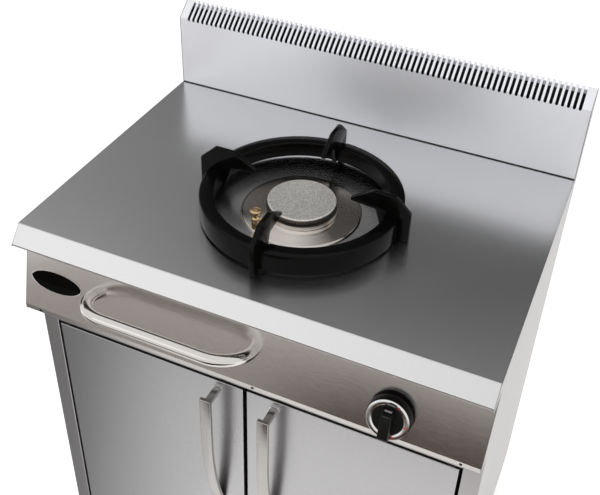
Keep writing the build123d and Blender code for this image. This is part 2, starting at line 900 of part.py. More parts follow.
with BuildPart() as knob_scale_ring:
    with BuildSketch(tap_plane(-knob_standoff - knob_depth + scale_seat - fit_gap)):
        Circle(scale_outer)
        Circle(scale_inner, mode=Mode.SUBTRACT)
        with Locations((0, (grip_back - knob_radius) / 2)):
            Rectangle(grip_width + 2 * fit_gap, knob_radius + grip_back, mode=Mode.SUBTRACT)
    extrude(amount=scale_seat - fit_gap + scale_proud)
save(knob_scale_ring.part, "knob_scale_ring")

# Inlet: a threaded fitting in the flue back and the pipe that runs forward to the tap.
inlet_level = tap_port.Z
inlet_collar_radius = 16.0
inlet_stub = 14.0
inlet_bore = 6.0
inlet_grip = 10.0
inlet_setback = back_reach - worktop_gauge + touch
inlet_plane = Plane(
    origin=(inlet_x, back(inlet_setback), inlet_level), x_dir=(-1, 0, 0), z_dir=(0, 1, 0)
)
with BuildPart() as gas_inlet_fitting:
    with BuildSketch(inlet_plane):
        RegularPolygon(inlet_collar_radius, 6)
    extrude(amount=inlet_collar)
    with BuildSketch(inlet_plane):
        Circle(inlet_thread_radius)
    extrude(amount=inlet_collar + inlet_thread_length)
    with BuildSketch(inlet_plane):
        Circle(inlet_thread_radius)
    extrude(amount=-inlet_stub)
    with BuildSketch(inlet_plane.offset(-inlet_stub)):
        Circle(inlet_radius + fit_gap)
    extrude(amount=inlet_grip + fit_gap, mode=Mode.SUBTRACT)
    with BuildSketch(inlet_plane):
        Circle(inlet_bore)
    extrude(amount=inlet_collar + inlet_thread_length, both=True, mode=Mode.SUBTRACT)
save(gas_inlet_fitting.part, "gas_inlet_fitting")

port_grip = 8.0
pipe_bend = 24.0
pipe_start = tap_x + valve_radius + port_length - port_grip
pipe_end = back(inlet_setback - inlet_stub + inlet_grip)
pipe_route = [
    (pipe_start, tap_port.Y, inlet_level),
    (inlet_x, tap_port.Y, inlet_level),
    (inlet_x, pipe_end, inlet_level),
]
save(round_tube(pipe_route, pipe_bend, inlet_radius, pipe_wall), "gas_inlet_pipe")

# Feed tube from the tap to the injector, with a nut at each end.
nut_wall = 3.5
tube_bend = 18.0
feed_start = tap_x - valve_radius - port_length - touch
feed_end = back(hex_setback - injector_hex_length - touch)
feed_route = [
    (feed_start, tap_port.Y, inlet_level),
    (0, tap_port.Y, inlet_level),
    (0, tap_port.Y, down(mixing_drop)),
    (0, feed_end, down(mixing_drop)),
]
save(round_tube(feed_route, tube_bend, feed_radius, pipe_wall), "burner_feed_tube")


def make_nut(place, direction, radius):
    """A hexagon nut round a tube, from a place along a direction."""
    with BuildPart() as nut:
        with BuildSketch(Plane(origin=place, z_dir=direction)):
            RegularPolygon(radius + nut_wall, 6)
            Circle(radius + fit_gap, mode=Mode.SUBTRACT)
        extrude(amount=nut_length)
    return nut.part.solid()


tube_nuts = Compound(
    [
        make_nut(feed_route[0], (-1, 0, 0), feed_radius),
        make_nut(feed_route[-1], (0, -1, 0), feed_radius),
    ]
)
save(tube_nuts, "tube_nuts")

# Pilot tube from the tap's upper port to the pilot burner, with a nut at each end.
pilot_lift = 42.0
pilot_bend = 12.0
pilot_start = pilot_port_plane.offset(valve_radius + port_length + touch).origin
pilot_turn = pilot_port_plane.offset(valve_radius + port_length + pilot_lift).origin
pilot_end = down(pilot_shank_drop + touch)
pilot_route = [
    tuple(pilot_start),
    tuple(pilot_turn),
    (pilot_place[0], pilot_place[1], pilot_turn.Z),
    (pilot_place[0], pilot_place[1], pilot_end),
]
save(round_tube(pilot_route, pilot_bend, pilot_tube_radius, pipe_wall), "pilot_tube")
pilot_tube_nuts = Compound(
    [
        make_nut(pilot_route[0], panel_plane.y_dir, pilot_tube_radius),
        make_nut(pilot_route[-1], (0, 0, -1), pilot_tube_radius),
    ]
)
save(pilot_tube_nuts, "pilot_tube_nuts")

# Thermocouple: a probe beside the pilot burner, with its thin lead down to the tap's end.
probe_foot = plate_rise + touch
probe_shank = 12.0
probe_grip = 1.0
probe_collar_height = 4.0
lead_drop = 70.0
lead_offset = 22.0
lead_start = tap_plane(tap_face + valve_length + touch).origin
lead_turn = tap_plane(tap_face + valve_length + lead_offset).origin
lead_route = [
    tuple(lead_start),
    tuple(lead_turn),
    (lead_turn.X, lead_turn.Y, down(lead_drop)),
    (probe_place[0], probe_place[1], down(lead_drop)),
    (probe_place[0], probe_place[1], down(probe_shank)),
]
with BuildPart() as thermocouple:
    add(round_tube(lead_route, pilot_bend, probe_lead_radius, 0))
    with Locations((probe_place[0], probe_place[1], down(probe_shank + probe_grip))):
        Cylinder(
            probe_radius,
            probe_shank + probe_grip + probe_foot + probe_height,
            align=(Align.CENTER, Align.CENTER, Align.MIN),
        )
    with Locations((probe_place[0], probe_place[1], worktop_height + probe_foot)):
        Cylinder(probe_collar, probe_collar_height, align=(Align.CENTER, Align.CENTER, Align.MIN))
save(thermocouple.part, "thermocouple")

# Wok ring: an inverted channel turned about the burner's axis, with a recess at each fin.
ring_edge = 1.5
ring_points = [
    (ring_radius - ring_wall, ring_foot),
    (ring_radius, ring_foot),
    (ring_radius, ring_top),
    (ring_bore, ring_top),
    (ring_bore, ring_inner_foot),
    (ring_bore + ring_wall, ring_inner_foot),
    (ring_bore + ring_wall, ring_top - ring_wall),
    (ring_radius - ring_wall, ring_top - ring_wall),
]
with BuildPart() as wok_ring:
    revolve(turned_section(burner_section, ring_points), axis=burner_axis)
    top_rims = wok_ring.edges().filter_by(GeomType.CIRCLE).group_by(Axis.Z)[-1]
    fillet(top_rims, radius=ring_edge)
    with Locations((0, burner_y, worktop_height + ring_top - ring_recess)):
        with PolarLocations(ring_radius, fin_count):
            Box(
                3 * (ring_radius - ring_bore),
                ring_recess_width,
                2 * ring_recess,
                align=(Align.CENTER, Align.CENTER, Align.MIN),
                mode=Mode.SUBTRACT,
            )
save(wok_ring.part, "wok_ring")

# Fins: upright plates that saddle the ring, stand on the worktop and carry the wok.
saddle = ring_top - ring_recess + touch
fin_edge = 1.5
fin_points = [
    (ring_radius + touch, touch),
    (fin_reach, touch),
    (fin_reach, fin_shoulder),
    (fin_peak_outer, fin_peak),
    (fin_peak_inner, fin_peak),
    (fin_tip_radius, fin_tip_height),
    (fin_tip_radius, fin_tip_height - fin_tip_gauge),
    (fin_root_radius - ring_wall, fin_root_height),
    (ring_bore - ring_wall, ring_inner_foot),
    (ring_bore - touch, ring_inner_foot),
    (ring_bore - touch, saddle),
    (ring_radius + touch, saddle),
]
with BuildPart() as fins:
    extrude(turned_section(burner_section, fin_points), amount=fin_gauge / 2, both=True)
    long_edges = fins.edges().filter_by(Axis.Y, reverse=True).filter_by_position(
        Axis.Z, worktop_height + fin_tip_height - fin_tip_gauge, worktop_height + fin_peak
    )
    chamfer(long_edges.group_by(Axis.Z)[-1], length=fin_edge)
fin_solid = fins.part.solid()
wok_ring_fins = Compound(
    [fin_solid.rotate(burner_axis, index * 360 / fin_count) for index in range(fin_count)]
)
save(wok_ring_fins, "wok_ring_fins")

# Hand rail: a bent tube with plugged ends, square to the panel; a screw from behind in each end.
rail_route = [
    tuple(on_panel(rail_left, rail_height, touch)),
    tuple(on_panel(rail_left, rail_height, rail_projection)),
    tuple(on_panel(rail_right, rail_height, rail_projection)),
    tuple(on_panel(rail_right, rail_height, touch)),
]
rail_screw_end = 1.0
rail_screw_length = rail_plug - rail_screw_end
rail_screw_head = 5.5
rail_screw_head_length = 3.0
with BuildPart() as hand_rail:
    add(round_tube(rail_route, rail_bend, rail_radius, rail_wall))
    with BuildSketch(panel_plane.offset(touch)):
        with Locations((rail_left, rail_height), (rail_right, rail_height)):
            Circle(rail_radius - rail_wall / 2)
            Circle(rail_screw_radius + fit_gap, mode=Mode.SUBTRACT)
    extrude(amount=rail_plug)
save(hand_rail.part, "hand_rail")

with BuildPart() as rail_screws:
    with BuildSketch(panel_plane.offset(-panel_gauge - touch)):
        with Locations((rail_left, rail_height), (rail_right, rail_height)):
            Circle(rail_screw_head)
    extrude(amount=-rail_screw_head_length)
    with BuildSketch(panel_plane.offset(-panel_gauge - touch)):
        with Locations((rail_left, rail_height), (rail_right, rail_height)):
            Circle(rail_screw_radius)
    extrude(amount=panel_gauge + touch + rail_screw_length)
save(rail_screws.part, "rail_screws")

# Badge plate: a bare oval on the panel.
with BuildPart() as badge_plate:
    with BuildSketch(panel_plane.offset(touch)):
        with Locations((badge_x, badge_height)):
            Ellipse(badge_half_width, badge_half_height)
    extrude(amount=badge_gauge)
save(badge_plate.part, "badge_plate")

# Cabinet side panels: skin, front post with its return, rear flange, top and bottom flanges.
face = back(face_setback)
panel_top = module_foot - seam
post_inner = half_width - post_width
side_points = [
    (-post_inner, face + post_return),
    (-post_inner, face),
    (-half_width, face),
    (-half_width, back(back_reach)),
    (side_flange - half_width, back(back_reach)),
]
rest_middle = back((face_setback + back_reach) / 2)
rest_length = back_reach - face_setback - 2 * (post_return + side_flange)
with BuildPart() as left_side_panel:
    with BuildSketch(Plane.XY.offset(foot_height)):
        add(folded_section(Plane.XY, side_points, cabinet_gauge, edge_bend))
    extrude(amount=panel_top - foot_height)
    with BuildSketch(Plane.XY.offset(panel_top - cabinet_gauge)):
        with Locations((cabinet_gauge + rest_flange / 2 - half_width, rest_middle)):
            Rectangle(rest_flange, rest_length)
        for setback in screw_setbacks:
            with Locations((screw_inset - half_width, back(setback))):
                Circle(screw_radius + fit_gap, mode=Mode.SUBTRACT)
    extrude(amount=cabinet_gauge)
    with BuildSketch(Plane.XY.offset(foot_height)):
        with Locations((cabinet_gauge + rest_flange / 2 - half_width, rest_middle)):
            Rectangle(rest_flange, rest_length)
    extrude(amount=cabinet_gauge)
save(left_side_panel.part, "left_side_panel")
with BuildPart() as right_side_panel:
    mirror(left_side_panel.part, about=Plane.YZ)
save(right_side_panel.part, "right_side_panel")

# Screws that tie the module to the cabinet.
module_screw_head = 5.0
module_screw_head_length = 3.0
module_screw_length = 12.0
screw_level = panel_top - cabinet_gauge - touch
with BuildPart() as module_screws:
    for side in (-1, 1):
        for setback in screw_setbacks:
            with Locations((side * (half_width - screw_inset), back(setback), screw_level)):
                Cylinder(
                    module_screw_head,
                    module_screw_head_length,
                    align=(Align.CENTER, Align.CENTER, Align.MAX),
                )
                Cylinder(
                    screw_radius,
                    module_screw_length,
                    align=(Align.CENTER, Align.CENTER, Align.MIN),
                )
save(module_screws.part, "module_screws")

# Back panel: closes the cabinet behind, inside the side panels' rear flanges.
inner_width = half_width - cabinet_gauge - seam
back_panel_setback = back_reach - cabinet_gauge - touch
back_panel_flange = 12.0
back_panel_points = [
    (back(back_panel_setback - back_panel_flange), panel_top - seam),
    (back(back_panel_setback), panel_top - seam),
    (back(back_panel_setback), foot_height + cabinet_gauge + touch),
    (back(back_panel_setback - back_panel_flange), foot_height + cabinet_gauge + touch),
]
back_panel_half = inner_width - rest_flange
with BuildPart() as back_panel:
    extrude(
        folded_section(Plane.YZ, back_panel_points, cabinet_gauge, edge_bend),
        amount=back_panel_half,
        both=True,
    )
save(back_panel.part, "back_panel")

# Cabinet floor: a pan folded down in front and behind, notched round the front posts.
floor_back = back_panel_setback - cabinet_gauge - back_panel_flange - seam
floor_fold = floor_level - foot_height - cabinet_gauge
floor_points = [
    (face, floor_level - floor_fold),
    (face, floor_level),
    (back(floor_back), floor_level),
    (back(floor_back), floor_level - floor_fold),
]
with BuildPart() as cabinet_floor:
    extrude(
        folded_section(Plane.YZ, floor_points, cabinet_gauge, edge_bend),
        amount=inner_width,
        both=True,
    )
    notch_width = inner_width - post_inner + seam
    for side in (-1, 1):
        with Locations((side * (inner_width - notch_width / 2), face, floor_level)):
            Box(notch_width, 2 * (post_return + seam), 3 * floor_fold, mode=Mode.SUBTRACT)
save(cabinet_floor.part, "cabinet_floor")

# Top front rail: a channel between the posts, over the doors.
top_rail_half = post_inner - seam
top_rail_foot = module_foot - top_rail_height
top_rail_points = [
    (face + top_rail_depth, top_rail_foot),
    (face, top_rail_foot),
    (face, panel_top),
    (face + top_rail_depth, panel_top),
]
pivot_depth = 8.0
pivot_x = post_inner - door_gap_side - pivot_inset
pivot_y = face + pivot_depth
with BuildPart() as top_front_rail:
    extrude(
        folded_section(Plane.YZ, top_rail_points, top_rail_gauge, edge_bend),
        amount=top_rail_half,
        both=True,
    )
    with Locations((-pivot_x, pivot_y, top_rail_foot), (pivot_x, pivot_y, top_rail_foot)):
        Cylinder(pin_radius + fit_gap, 4 * top_rail_gauge, mode=Mode.SUBTRACT)
save(top_front_rail.part, "top_front_rail")

# Hinge brackets: flat plates over the rail's lower flange and on the cabinet floor.
bracket_width = 34.0
bracket_depth = 24.0
bracket_shift = 3.0
top_bracket_foot = top_rail_foot + top_rail_gauge + touch
low_bracket_foot = floor_level + touch
door_top = top_rail_foot - door_gap_top
door_foot = floor_level + door_gap_bottom
bracket_y = face + top_rail_gauge + edge_bend + bracket_depth / 2
with BuildPart() as hinge_brackets:
    for side in (-1, 1):
        for level in (low_bracket_foot, top_bracket_foot):
            with BuildSketch(Plane.XY.offset(level)):
                with Locations((side * (pivot_x - bracket_shift), bracket_y)):
                    Rectangle(bracket_width, bracket_depth)
                with Locations((side * pivot_x, pivot_y)):
                    Circle(pin_radius + fit_gap, mode=Mode.SUBTRACT)
    extrude(amount=bracket_gauge)
save(hinge_brackets.part, "hinge_brackets")

# Hinge pins: fixed in the brackets, they reach into the doors' bushes.
with BuildPart() as hinge_pins:
    for side in (-1, 1):
        with Locations((side * pivot_x, pivot_y, low_bracket_foot)):
            Cylinder(
                pin_radius,
                door_foot + pin_grip - low_bracket_foot,
                align=(Align.CENTER, Align.CENTER, Align.MIN),
            )
        with Locations((side * pivot_x, pivot_y, door_top - pin_grip)):
            Cylinder(
                pin_radius,
                top_bracket_foot + bracket_gauge - door_top + pin_grip,
                align=(Align.CENTER, Align.CENTER, Align.MIN),
            )
save(hinge_pins.part, "hinge_pins")

# Door magnets: small blocks under the top rail, behind the doors' inner corners.
magnet_x = 32.0
magnet_width = 30.0
magnet_depth = 10.0
magnet_height = 12.0
magnet_gap = 0.5
with BuildPart() as door_magnets:
    for side in (-1, 1):
        with Locations((side * magnet_x, face + door_thickness + magnet_gap, top_rail_foot - touch)):
            Box(
                magnet_width,
                magnet_depth,
                magnet_height,
                align=(Align.CENTER, Align.MIN, Align.MAX),
            )
save(door_magnets.part, "door_magnets")

# Doors: a folded skin, a liner that closes it behind, bushes, a handle with rosette and screws.
door_width = post_inner - door_gap_side - door_gap_centre / 2
door_middle = (post_inner - door_gap_side + door_gap_centre / 2) / 2
door_height = door_top - door_foot
door_edge = 1.2
liner_fold = 8.0
liner_gap = 0.2
handle_screw_radius = 2.0
handle_screw_head = 4.0
handle_screw_head_length = 2.5
handle_edge = 1.5
leg_height = 10.0
leg_top = 3.0
foot_screw_grip = 4.0
leg_screw_grip = 9.0
handle_top = down(handle_top_drop)
bow_top = handle_top - handle_straight
inner_bow = handle_bow_radius - handle_gauge
bow_end_angle = math.acos(1 - (handle_projection - handle_gauge - touch) / inner_bow)
bow_angle = math.degrees(math.acos(1 - (handle_projection + handle_gauge) / inner_bow))
bar_y = face - handle_projection + handle_gauge / 2
foot_screw_level = bow_top - inner_bow * math.sin(bow_end_angle) - handle_screw_radius
leg_level = handle_top - leg_top - leg_height / 2
rosette_back = face - touch
rosette_front = rosette_back - rosette_gauge


def screw_places(centre):
    """The x and z of a handle's two screws: in the leg and in the lower end."""
    return [(centre + leg_offset, leg_level), (centre, foot_screw_level)]


def make_door_skin(side):
    """A door's front sheet with its four folded sides, the hinge holes and the screw holes."""
    with BuildPart() as skin:
        with BuildSketch(Plane.XZ.offset(-face)):
            with Locations((side * door_middle, door_foot + door_height / 2)):
                Rectangle(door_width, door_height)
        extrude(amount=-door_thickness)
        fillet(skin.faces().sort_by(Axis.Y)[0].edges(), radius=door_edge)
        with BuildSketch(Plane.XZ.offset(-face - door_gauge)):
            with Locations((side * door_middle, door_foot + door_height / 2)):
                Rectangle(door_width - 2 * door_gauge, door_height - 2 * door_gauge)
        extrude(amount=-door_thickness, mode=Mode.SUBTRACT)
        for level in (door_foot, door_top):
            with Locations((side * pivot_x, pivot_y, level)):
                Cylinder(bush_radius + fit_gap, 4 * door_gauge, mode=Mode.SUBTRACT)
        with BuildSketch(Plane.XZ.offset(-face + door_gauge)):
            with Locations(*screw_places(side * handle_x)):
                Circle(handle_screw_radius + fit_gap)
        extrude(amount=-3 * door_gauge, mode=Mode.SUBTRACT)
    return skin.part


def make_door_liner(side):
    """The sheet that closes a door behind, folded forward along its upright edges."""
    liner_half = door_width / 2 - door_gauge - liner_gap
    liner_points = [
        (side * door_middle - liner_half, face + door_thickness - liner_fold),
        (side * door_middle - liner_half, face + door_thickness),
        (side * door_middle + liner_half, face + door_thickness),
        (side * door_middle + liner_half, face + door_thickness - liner_fold),
    ]
    with BuildPart() as liner:
        with BuildSketch(Plane.XY.offset(door_foot + door_gauge + liner_gap)):
            add(folded_section(Plane.XY, liner_points, door_gauge, edge_bend))
        extrude(amount=door_height - 2 * (door_gauge + liner_gap))
    return liner.part


def make_hinge_bushes(side):
    """The flanged bushes in a door's lower and upper edge."""
    with BuildPart() as bushes:
        for level, outward in ((door_foot, -1), (door_top, 1)):
            with BuildSketch(Plane.XY.offset(level)):
                with Locations((side * pivot_x, pivot_y)):
                    Circle(bush_radius)
                    Circle(pin_radius + pin_fit, mode=Mode.SUBTRACT)
            extrude(amount=-outward * (pin_grip + pin_radius))
            with BuildSketch(Plane.XY.offset(level)):
                with Locations((side * pivot_x, pivot_y)):
                    Circle(bush_flange_radius)
                    Circle(pin_radius + pin_fit, mode=Mode.SUBTRACT)
            extrude(amount=outward * bush_flange)
    return bushes.part


def make_handle(centre):
    """A flat bar, straight above and bowed back to the door below, with one leg at its top."""
    with BuildPart() as handle:
        with BuildLine(Plane.YZ.offset(centre)) as middle:
            straight = Line((bar_y, handle_top), (bar_y, bow_top))
            JernArc(straight @ 1, straight % 1, handle_bow_radius - handle_gauge / 2, bow_angle)
        with BuildSketch(Plane(origin=(centre, bar_y, handle_top), z_dir=(0, 0, -1))) as section:
            Rectangle(handle_width, handle_gauge)
            chamfer(section.vertices(), length=handle_edge)
        sweep(path=middle.line)
        with Locations((centre, face - touch, handle_top)):
            Box(
                2 * handle_width,
                handle_projection,
                2 * handle_bow_radius,
                align=(Align.CENTER, Align.MIN, Align.CENTER),
                mode=Mode.SUBTRACT,
            )
        with BuildSketch(Plane.XZ.offset(-rosette_front + touch)):
            with Locations((centre + leg_offset, leg_level)):
                RectangleRounded(leg_width, leg_height, handle_edge)
        extrude(amount=handle_projection - handle_gauge / 2 - rosette_gauge - 2 * touch)
        with BuildSketch(Plane.XZ.offset(-face)):
            with Locations(screw_places(centre)[0]):
                Circle(handle_screw_radius + fit_gap)
        extrude(amount=rosette_gauge + leg_screw_grip, mode=Mode.SUBTRACT)
        with BuildSketch(Plane.XZ.offset(-face)):
            with Locations(screw_places(centre)[1]):
                Circle(handle_screw_radius + fit_gap)
        extrude(amount=foot_screw_grip, mode=Mode.SUBTRACT)
    return handle.part


def make_rosette(centre):
    """The oval disc between a handle's leg and the door."""
    with BuildPart() as rosette:
        with BuildSketch(Plane.XZ.offset(-rosette_back)):
            with Locations((centre + leg_offset, leg_level)):
                Ellipse(rosette_length / 2, rosette_width / 2)
                Circle(handle_screw_radius + fit_gap, mode=Mode.SUBTRACT)
        extrude(amount=rosette_gauge)
    return rosette.part


def make_handle_screws(centre):
    """A handle's two screws, put in from inside the door."""
    head_level = face + door_gauge + touch
    grips = (rosette_gauge + leg_screw_grip - touch, foot_screw_grip - touch)
    with BuildPart() as screws:
        for (x, z), grip in zip(screw_places(centre), grips):
            with BuildSketch(Plane.XZ.offset(-head_level)):
                with Locations((x, z)):
                    Circle(handle_screw_head)
            extrude(amount=-handle_screw_head_length)
            with BuildSketch(Plane.XZ.offset(-head_level)):
                with Locations((x, z)):
                    Circle(handle_screw_radius)
            extrude(amount=door_gauge + touch + grip)
    return screws.part


for name, side in (("left", -1), ("right", 1)):
    save(make_door_skin(side), f"{name}_door_skin")
    save(make_door_liner(side), f"{name}_door_liner")
    save(make_hinge_bushes(side), f"{name}_hinge_bushes")
    save(make_handle(side * handle_x), f"{name}_door_handle")
    save(make_rosette(side * handle_x), f"{name}_handle_rosette")
    save(make_handle_screws(side * handle_x), f"{name}_handle_screws")

# Feet: a pad on a threaded stem; the sleeves hang under the cabinet floor.
foot_x = half_width - foot_inset
foot_places = {
    "front_left": (-foot_x, face + foot_inset),
    "front_right": (foot_x, face + foot_inset),
    "rear_left": (-foot_x, back(back_reach - foot_inset)),
    "rear_right": (foot_x, back(back_reach - foot_inset)),
}
foot_nut_radius = 9.5
foot_nut_height = 6.0
pad_edge = 2.0
sleeve_top = floor_level - cabinet_gauge - touch
with BuildPart() as foot_sleeves:
    for x, y in foot_places.values():
        with BuildSketch(Plane.XY.offset(sleeve_top)):
            with Locations((x, y)):
                RectangleRounded(sleeve_plate, sleeve_plate, sleeve_plate_gauge)
        extrude(amount=-sleeve_plate_gauge)
        with BuildSketch(Plane.XY.offset(sleeve_top)):
            with Locations((x, y)):
                Circle(sleeve_radius)
        extrude(amount=-sleeve_plate_gauge - sleeve_drop)
        with BuildSketch(Plane.XY.offset(sleeve_top)):
            with Locations((x, y)):
                Circle(stem_radius + stem_fit)
        extrude(amount=-sleeve_plate_gauge - sleeve_drop, mode=Mode.SUBTRACT)
save(foot_sleeves.part, "foot_sleeves")

stem_top = sleeve_top - sleeve_plate_gauge / 2
for name, (x, y) in foot_places.items():
    with BuildPart() as foot:
        with BuildSketch(Plane.XY):
            with Locations((x, y)):
                Circle(foot_pad_radius)
        extrude(amount=foot_pad_height)
        chamfer(foot.edges().filter_by(GeomType.CIRCLE), length=pad_edge)
        with BuildSketch(Plane.XY.offset(foot_pad_height)):
            with Locations((x, y)):
                RegularPolygon(foot_nut_radius, 6)
        extrude(amount=foot_nut_height)
        with BuildSketch(Plane.XY.offset(foot_pad_height)):
            with Locations((x, y)):
                Circle(stem_radius)
        extrude(amount=stem_top - foot_pad_height)
    save(foot.part, f"foot_{name}")
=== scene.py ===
# %% [markdown]
# # A gas wok stove, dressed
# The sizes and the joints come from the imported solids. This notebook gives them their looks: it keeps
# most sheets as they are and gives them finishes, and models anew what the eye stops at, such as
# the cast wok ring, the burner, the brass pilot burner, the knob, the hand rail and the door handles.

import math

import bmesh
import bpy
from mathutils import Matrix, Vector


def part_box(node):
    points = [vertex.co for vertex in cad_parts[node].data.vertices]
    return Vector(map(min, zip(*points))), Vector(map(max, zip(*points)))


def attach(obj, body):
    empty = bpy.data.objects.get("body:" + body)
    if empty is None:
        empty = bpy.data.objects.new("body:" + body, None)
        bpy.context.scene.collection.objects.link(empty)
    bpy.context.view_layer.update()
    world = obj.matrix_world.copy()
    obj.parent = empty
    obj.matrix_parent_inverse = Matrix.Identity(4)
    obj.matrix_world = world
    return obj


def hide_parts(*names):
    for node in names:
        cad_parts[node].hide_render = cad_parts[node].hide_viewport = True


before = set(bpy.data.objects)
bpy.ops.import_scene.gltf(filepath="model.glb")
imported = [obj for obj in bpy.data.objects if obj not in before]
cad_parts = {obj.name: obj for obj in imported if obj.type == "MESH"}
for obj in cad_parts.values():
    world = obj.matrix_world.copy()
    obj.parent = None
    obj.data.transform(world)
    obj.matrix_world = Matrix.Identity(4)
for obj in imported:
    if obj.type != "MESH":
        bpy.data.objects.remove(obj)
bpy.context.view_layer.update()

# %% [markdown]
# ## Places that many pieces share
# Sizes are read from the solids' boxes, so a changed solid moves its dressing along. The worktop's
# height, the burner's middle and the panel's slope are what most pieces refer to. Places are in
# metres, as Blender counts, but the outlines of turned and cast pieces are drawn in millimetres.

# %% Shared places
MM = 0.001
EAST, NORTH, UP = Vector((1, 0, 0)), Vector((0, 1, 0)), Vector((0, 0, 1))
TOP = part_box("worktop")[1].z
ring_low, ring_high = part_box("wok_ring")
BURNER = Vector(((ring_low.x + ring_high.x) / 2, (ring_low.y + ring_high.y) / 2, TOP))
PANEL_TILT = math.radians(15)
PANEL_OUT = Vector((0, -math.cos(PANEL_TILT), math.sin(PANEL_TILT)))
PANEL_UP = Vector((0, math.sin(PANEL_TILT), math.cos(PANEL_TILT)))
print("burner at", tuple(round(c, 4) for c in BURNER))


# %% [markdown]
# ## Small tools for modelling
# Every piece starts as a primitive and is shaped in edit mode. These helpers do what a hand does:
# choose one piece, open it, pick faces by where they are, turn them outwards, and apply a modifier.
# An operator acts on all that is selected, so everything else is deselected first.

# %% Modelling helpers
def deselect():
    """Leaves nothing selected."""
    if bpy.context.mode != "OBJECT":
        bpy.ops.object.mode_set(mode="OBJECT")
    bpy.ops.object.select_all(action="DESELECT")


def choose(piece):
    """Selects one piece alone and makes it the active one."""
    deselect()
    piece.select_set(True)
    bpy.context.view_layer.objects.active = piece


def open_piece(piece):
    """Opens one piece in edit mode with nothing picked."""
    choose(piece)
    bpy.ops.object.mode_set(mode="EDIT")
    bpy.ops.mesh.select_mode(type="FACE")
    bpy.ops.mesh.select_all(action="DESELECT")


def close_piece(piece, name):
    """Ends edit mode, puts the object's place into its mesh and names it."""
    bpy.ops.object.mode_set(mode="OBJECT")
    bpy.ops.object.transform_apply(location=True, rotation=True, scale=True)
    piece.name = name
    piece.data.name = name
    return piece


def pick(piece, wanted):
    """Picks the faces of the open piece that wanted(face) accepts, and counts them."""
    bpy.ops.mesh.select_mode(type="FACE")
    bpy.ops.mesh.select_all(action="DESELECT")
    mesh = bmesh.from_edit_mesh(piece.data)
    count = 0
    for face in mesh.faces:
        if wanted(face):
            face.select_set(True)
            count += 1
    mesh.select_flush_mode()
    bmesh.update_edit_mesh(piece.data)
    return count


def face_out():
    """Makes all faces of the open piece point outwards, and leaves them picked."""
    bpy.ops.mesh.select_all(action="SELECT")
    bpy.ops.mesh.normals_make_consistent(inside=False)


def apply_modifier(piece, kind, **settings):
    """Adds a modifier with these settings and applies it."""
    choose(piece)
    modifier = piece.modifiers.new(kind.title(), kind)
    for key, value in settings.items():
        setattr(modifier, key, value)
    bpy.ops.object.modifier_apply(modifier=modifier.name)


def soften(piece, width, segments=2, angle=30):
    """Rounds the piece's sharp edges and shades it smooth between them."""
    apply_modifier(
        piece,
        "BEVEL",
        width=width,
        segments=segments,
        limit_method="ANGLE",
        angle_limit=math.radians(angle),
        harden_normals=False,
    )
    shade(piece)


def shade(piece, angle=35):
    """Smooth shading, but for edges sharper than the angle."""
    choose(piece)
    bpy.ops.object.shade_smooth_by_angle(angle=math.radians(angle))


# %% [markdown]
# ## Turned pieces
# A burner cap, a pilot burner and a rosette are turned on a lathe. By hand one adds a circle, then
# extrudes its edge and scales it for each step of the outline. The helper does exactly that about
# any axis, closes the poles, and leaves the piece in place. At a pole the edge is only drawn in to a
# tiny ring, because nothing can be scaled back out of a point; its vertices are merged at the end.

# %% Turning helper
POLE_RADIUS = 0.01
MERGE_DISTANCE = 0.04


def standing(centre, axis):
    """The matrix that sets a piece made about the upright axis on a centre, along another axis."""
    return Matrix.Translation(centre) @ UP.rotation_difference(axis).to_matrix().to_4x4()


def turned(name, centre, outline, steps, axis=UP, closed=False):
    """A turned piece from an outline of (radius, height) in mm, about an axis through centre.

    A closed outline ends where it starts; an open one has its ends filled.
    """
    deselect()
    outline = [(max(radius, POLE_RADIUS), height) for radius, height in outline]
    radius, height = outline[0]
    bpy.ops.mesh.primitive_circle_add(
        vertices=steps, radius=radius * MM, location=(0, 0, height * MM)
    )
    piece = bpy.context.object
    bpy.ops.object.mode_set(mode="EDIT")
    bpy.ops.mesh.select_mode(type="VERT")
    bpy.ops.mesh.select_all(action="SELECT")
    for next_radius, next_height in outline[1:]:
        growth = next_radius / radius
        bpy.ops.mesh.extrude_edges_move(
            TRANSFORM_OT_translate={"value": (0, 0, (next_height - height) * MM)}
        )
        bpy.ops.transform.resize(
            value=(growth, growth, 1), center_override=(0, 0, next_height * MM)
        )
        radius, height = next_radius, next_height
    bpy.ops.mesh.select_all(action="SELECT")
    bpy.ops.mesh.remove_doubles(threshold=MERGE_DISTANCE * MM)
    if not closed:
        bpy.ops.mesh.select_all(action="DESELECT")
        bpy.ops.mesh.select_non_manifold()
        if piece.data.total_edge_sel:
            bpy.ops.mesh.edge_face_add()
    face_out()
    close_piece(piece, name)
    piece.matrix_world = standing(centre, axis)
    bpy.ops.object.transform_apply(location=True, rotation=True, scale=True)
    shade(piece)
    return piece


# %% [markdown]
# ## Shader maths as expressions
# A finish is mostly sums: a grain here, a little more roughness there. The class below wraps a
# socket so that plain Python sums add Math nodes, and one method adds any other node.

# %% Finish helper
class Wave:
    """A socket that sums, products and comparisons can be written with."""

    def __init__(self, finish, socket):
        self.finish = finish
        self.socket = socket

    def _math(self, operation, first, second):
        node = self.finish.tree.nodes.new("ShaderNodeMath")
        node.operation = operation
        for place, value in enumerate((first, second)):
            self.finish.feed(node.inputs[place], value)
        return Wave(self.finish, node.outputs[0])

    def __add__(self, other):
        return self._math("ADD", self, other)

    __radd__ = __add__

    def __sub__(self, other):
        return self._math("SUBTRACT", self, other)

    def __rsub__(self, other):
        return self._math("SUBTRACT", other, self)

    def __mul__(self, other):
        return self._math("MULTIPLY", self, other)

    __rmul__ = __mul__

    def __truediv__(self, other):
        return self._math("DIVIDE", self, other)

    def __gt__(self, other):
        return self._math("GREATER_THAN", self, other)

    def __lt__(self, other):
        return self._math("LESS_THAN", self, other)

    def __pow__(self, other):
        return self._math("POWER", self, other)


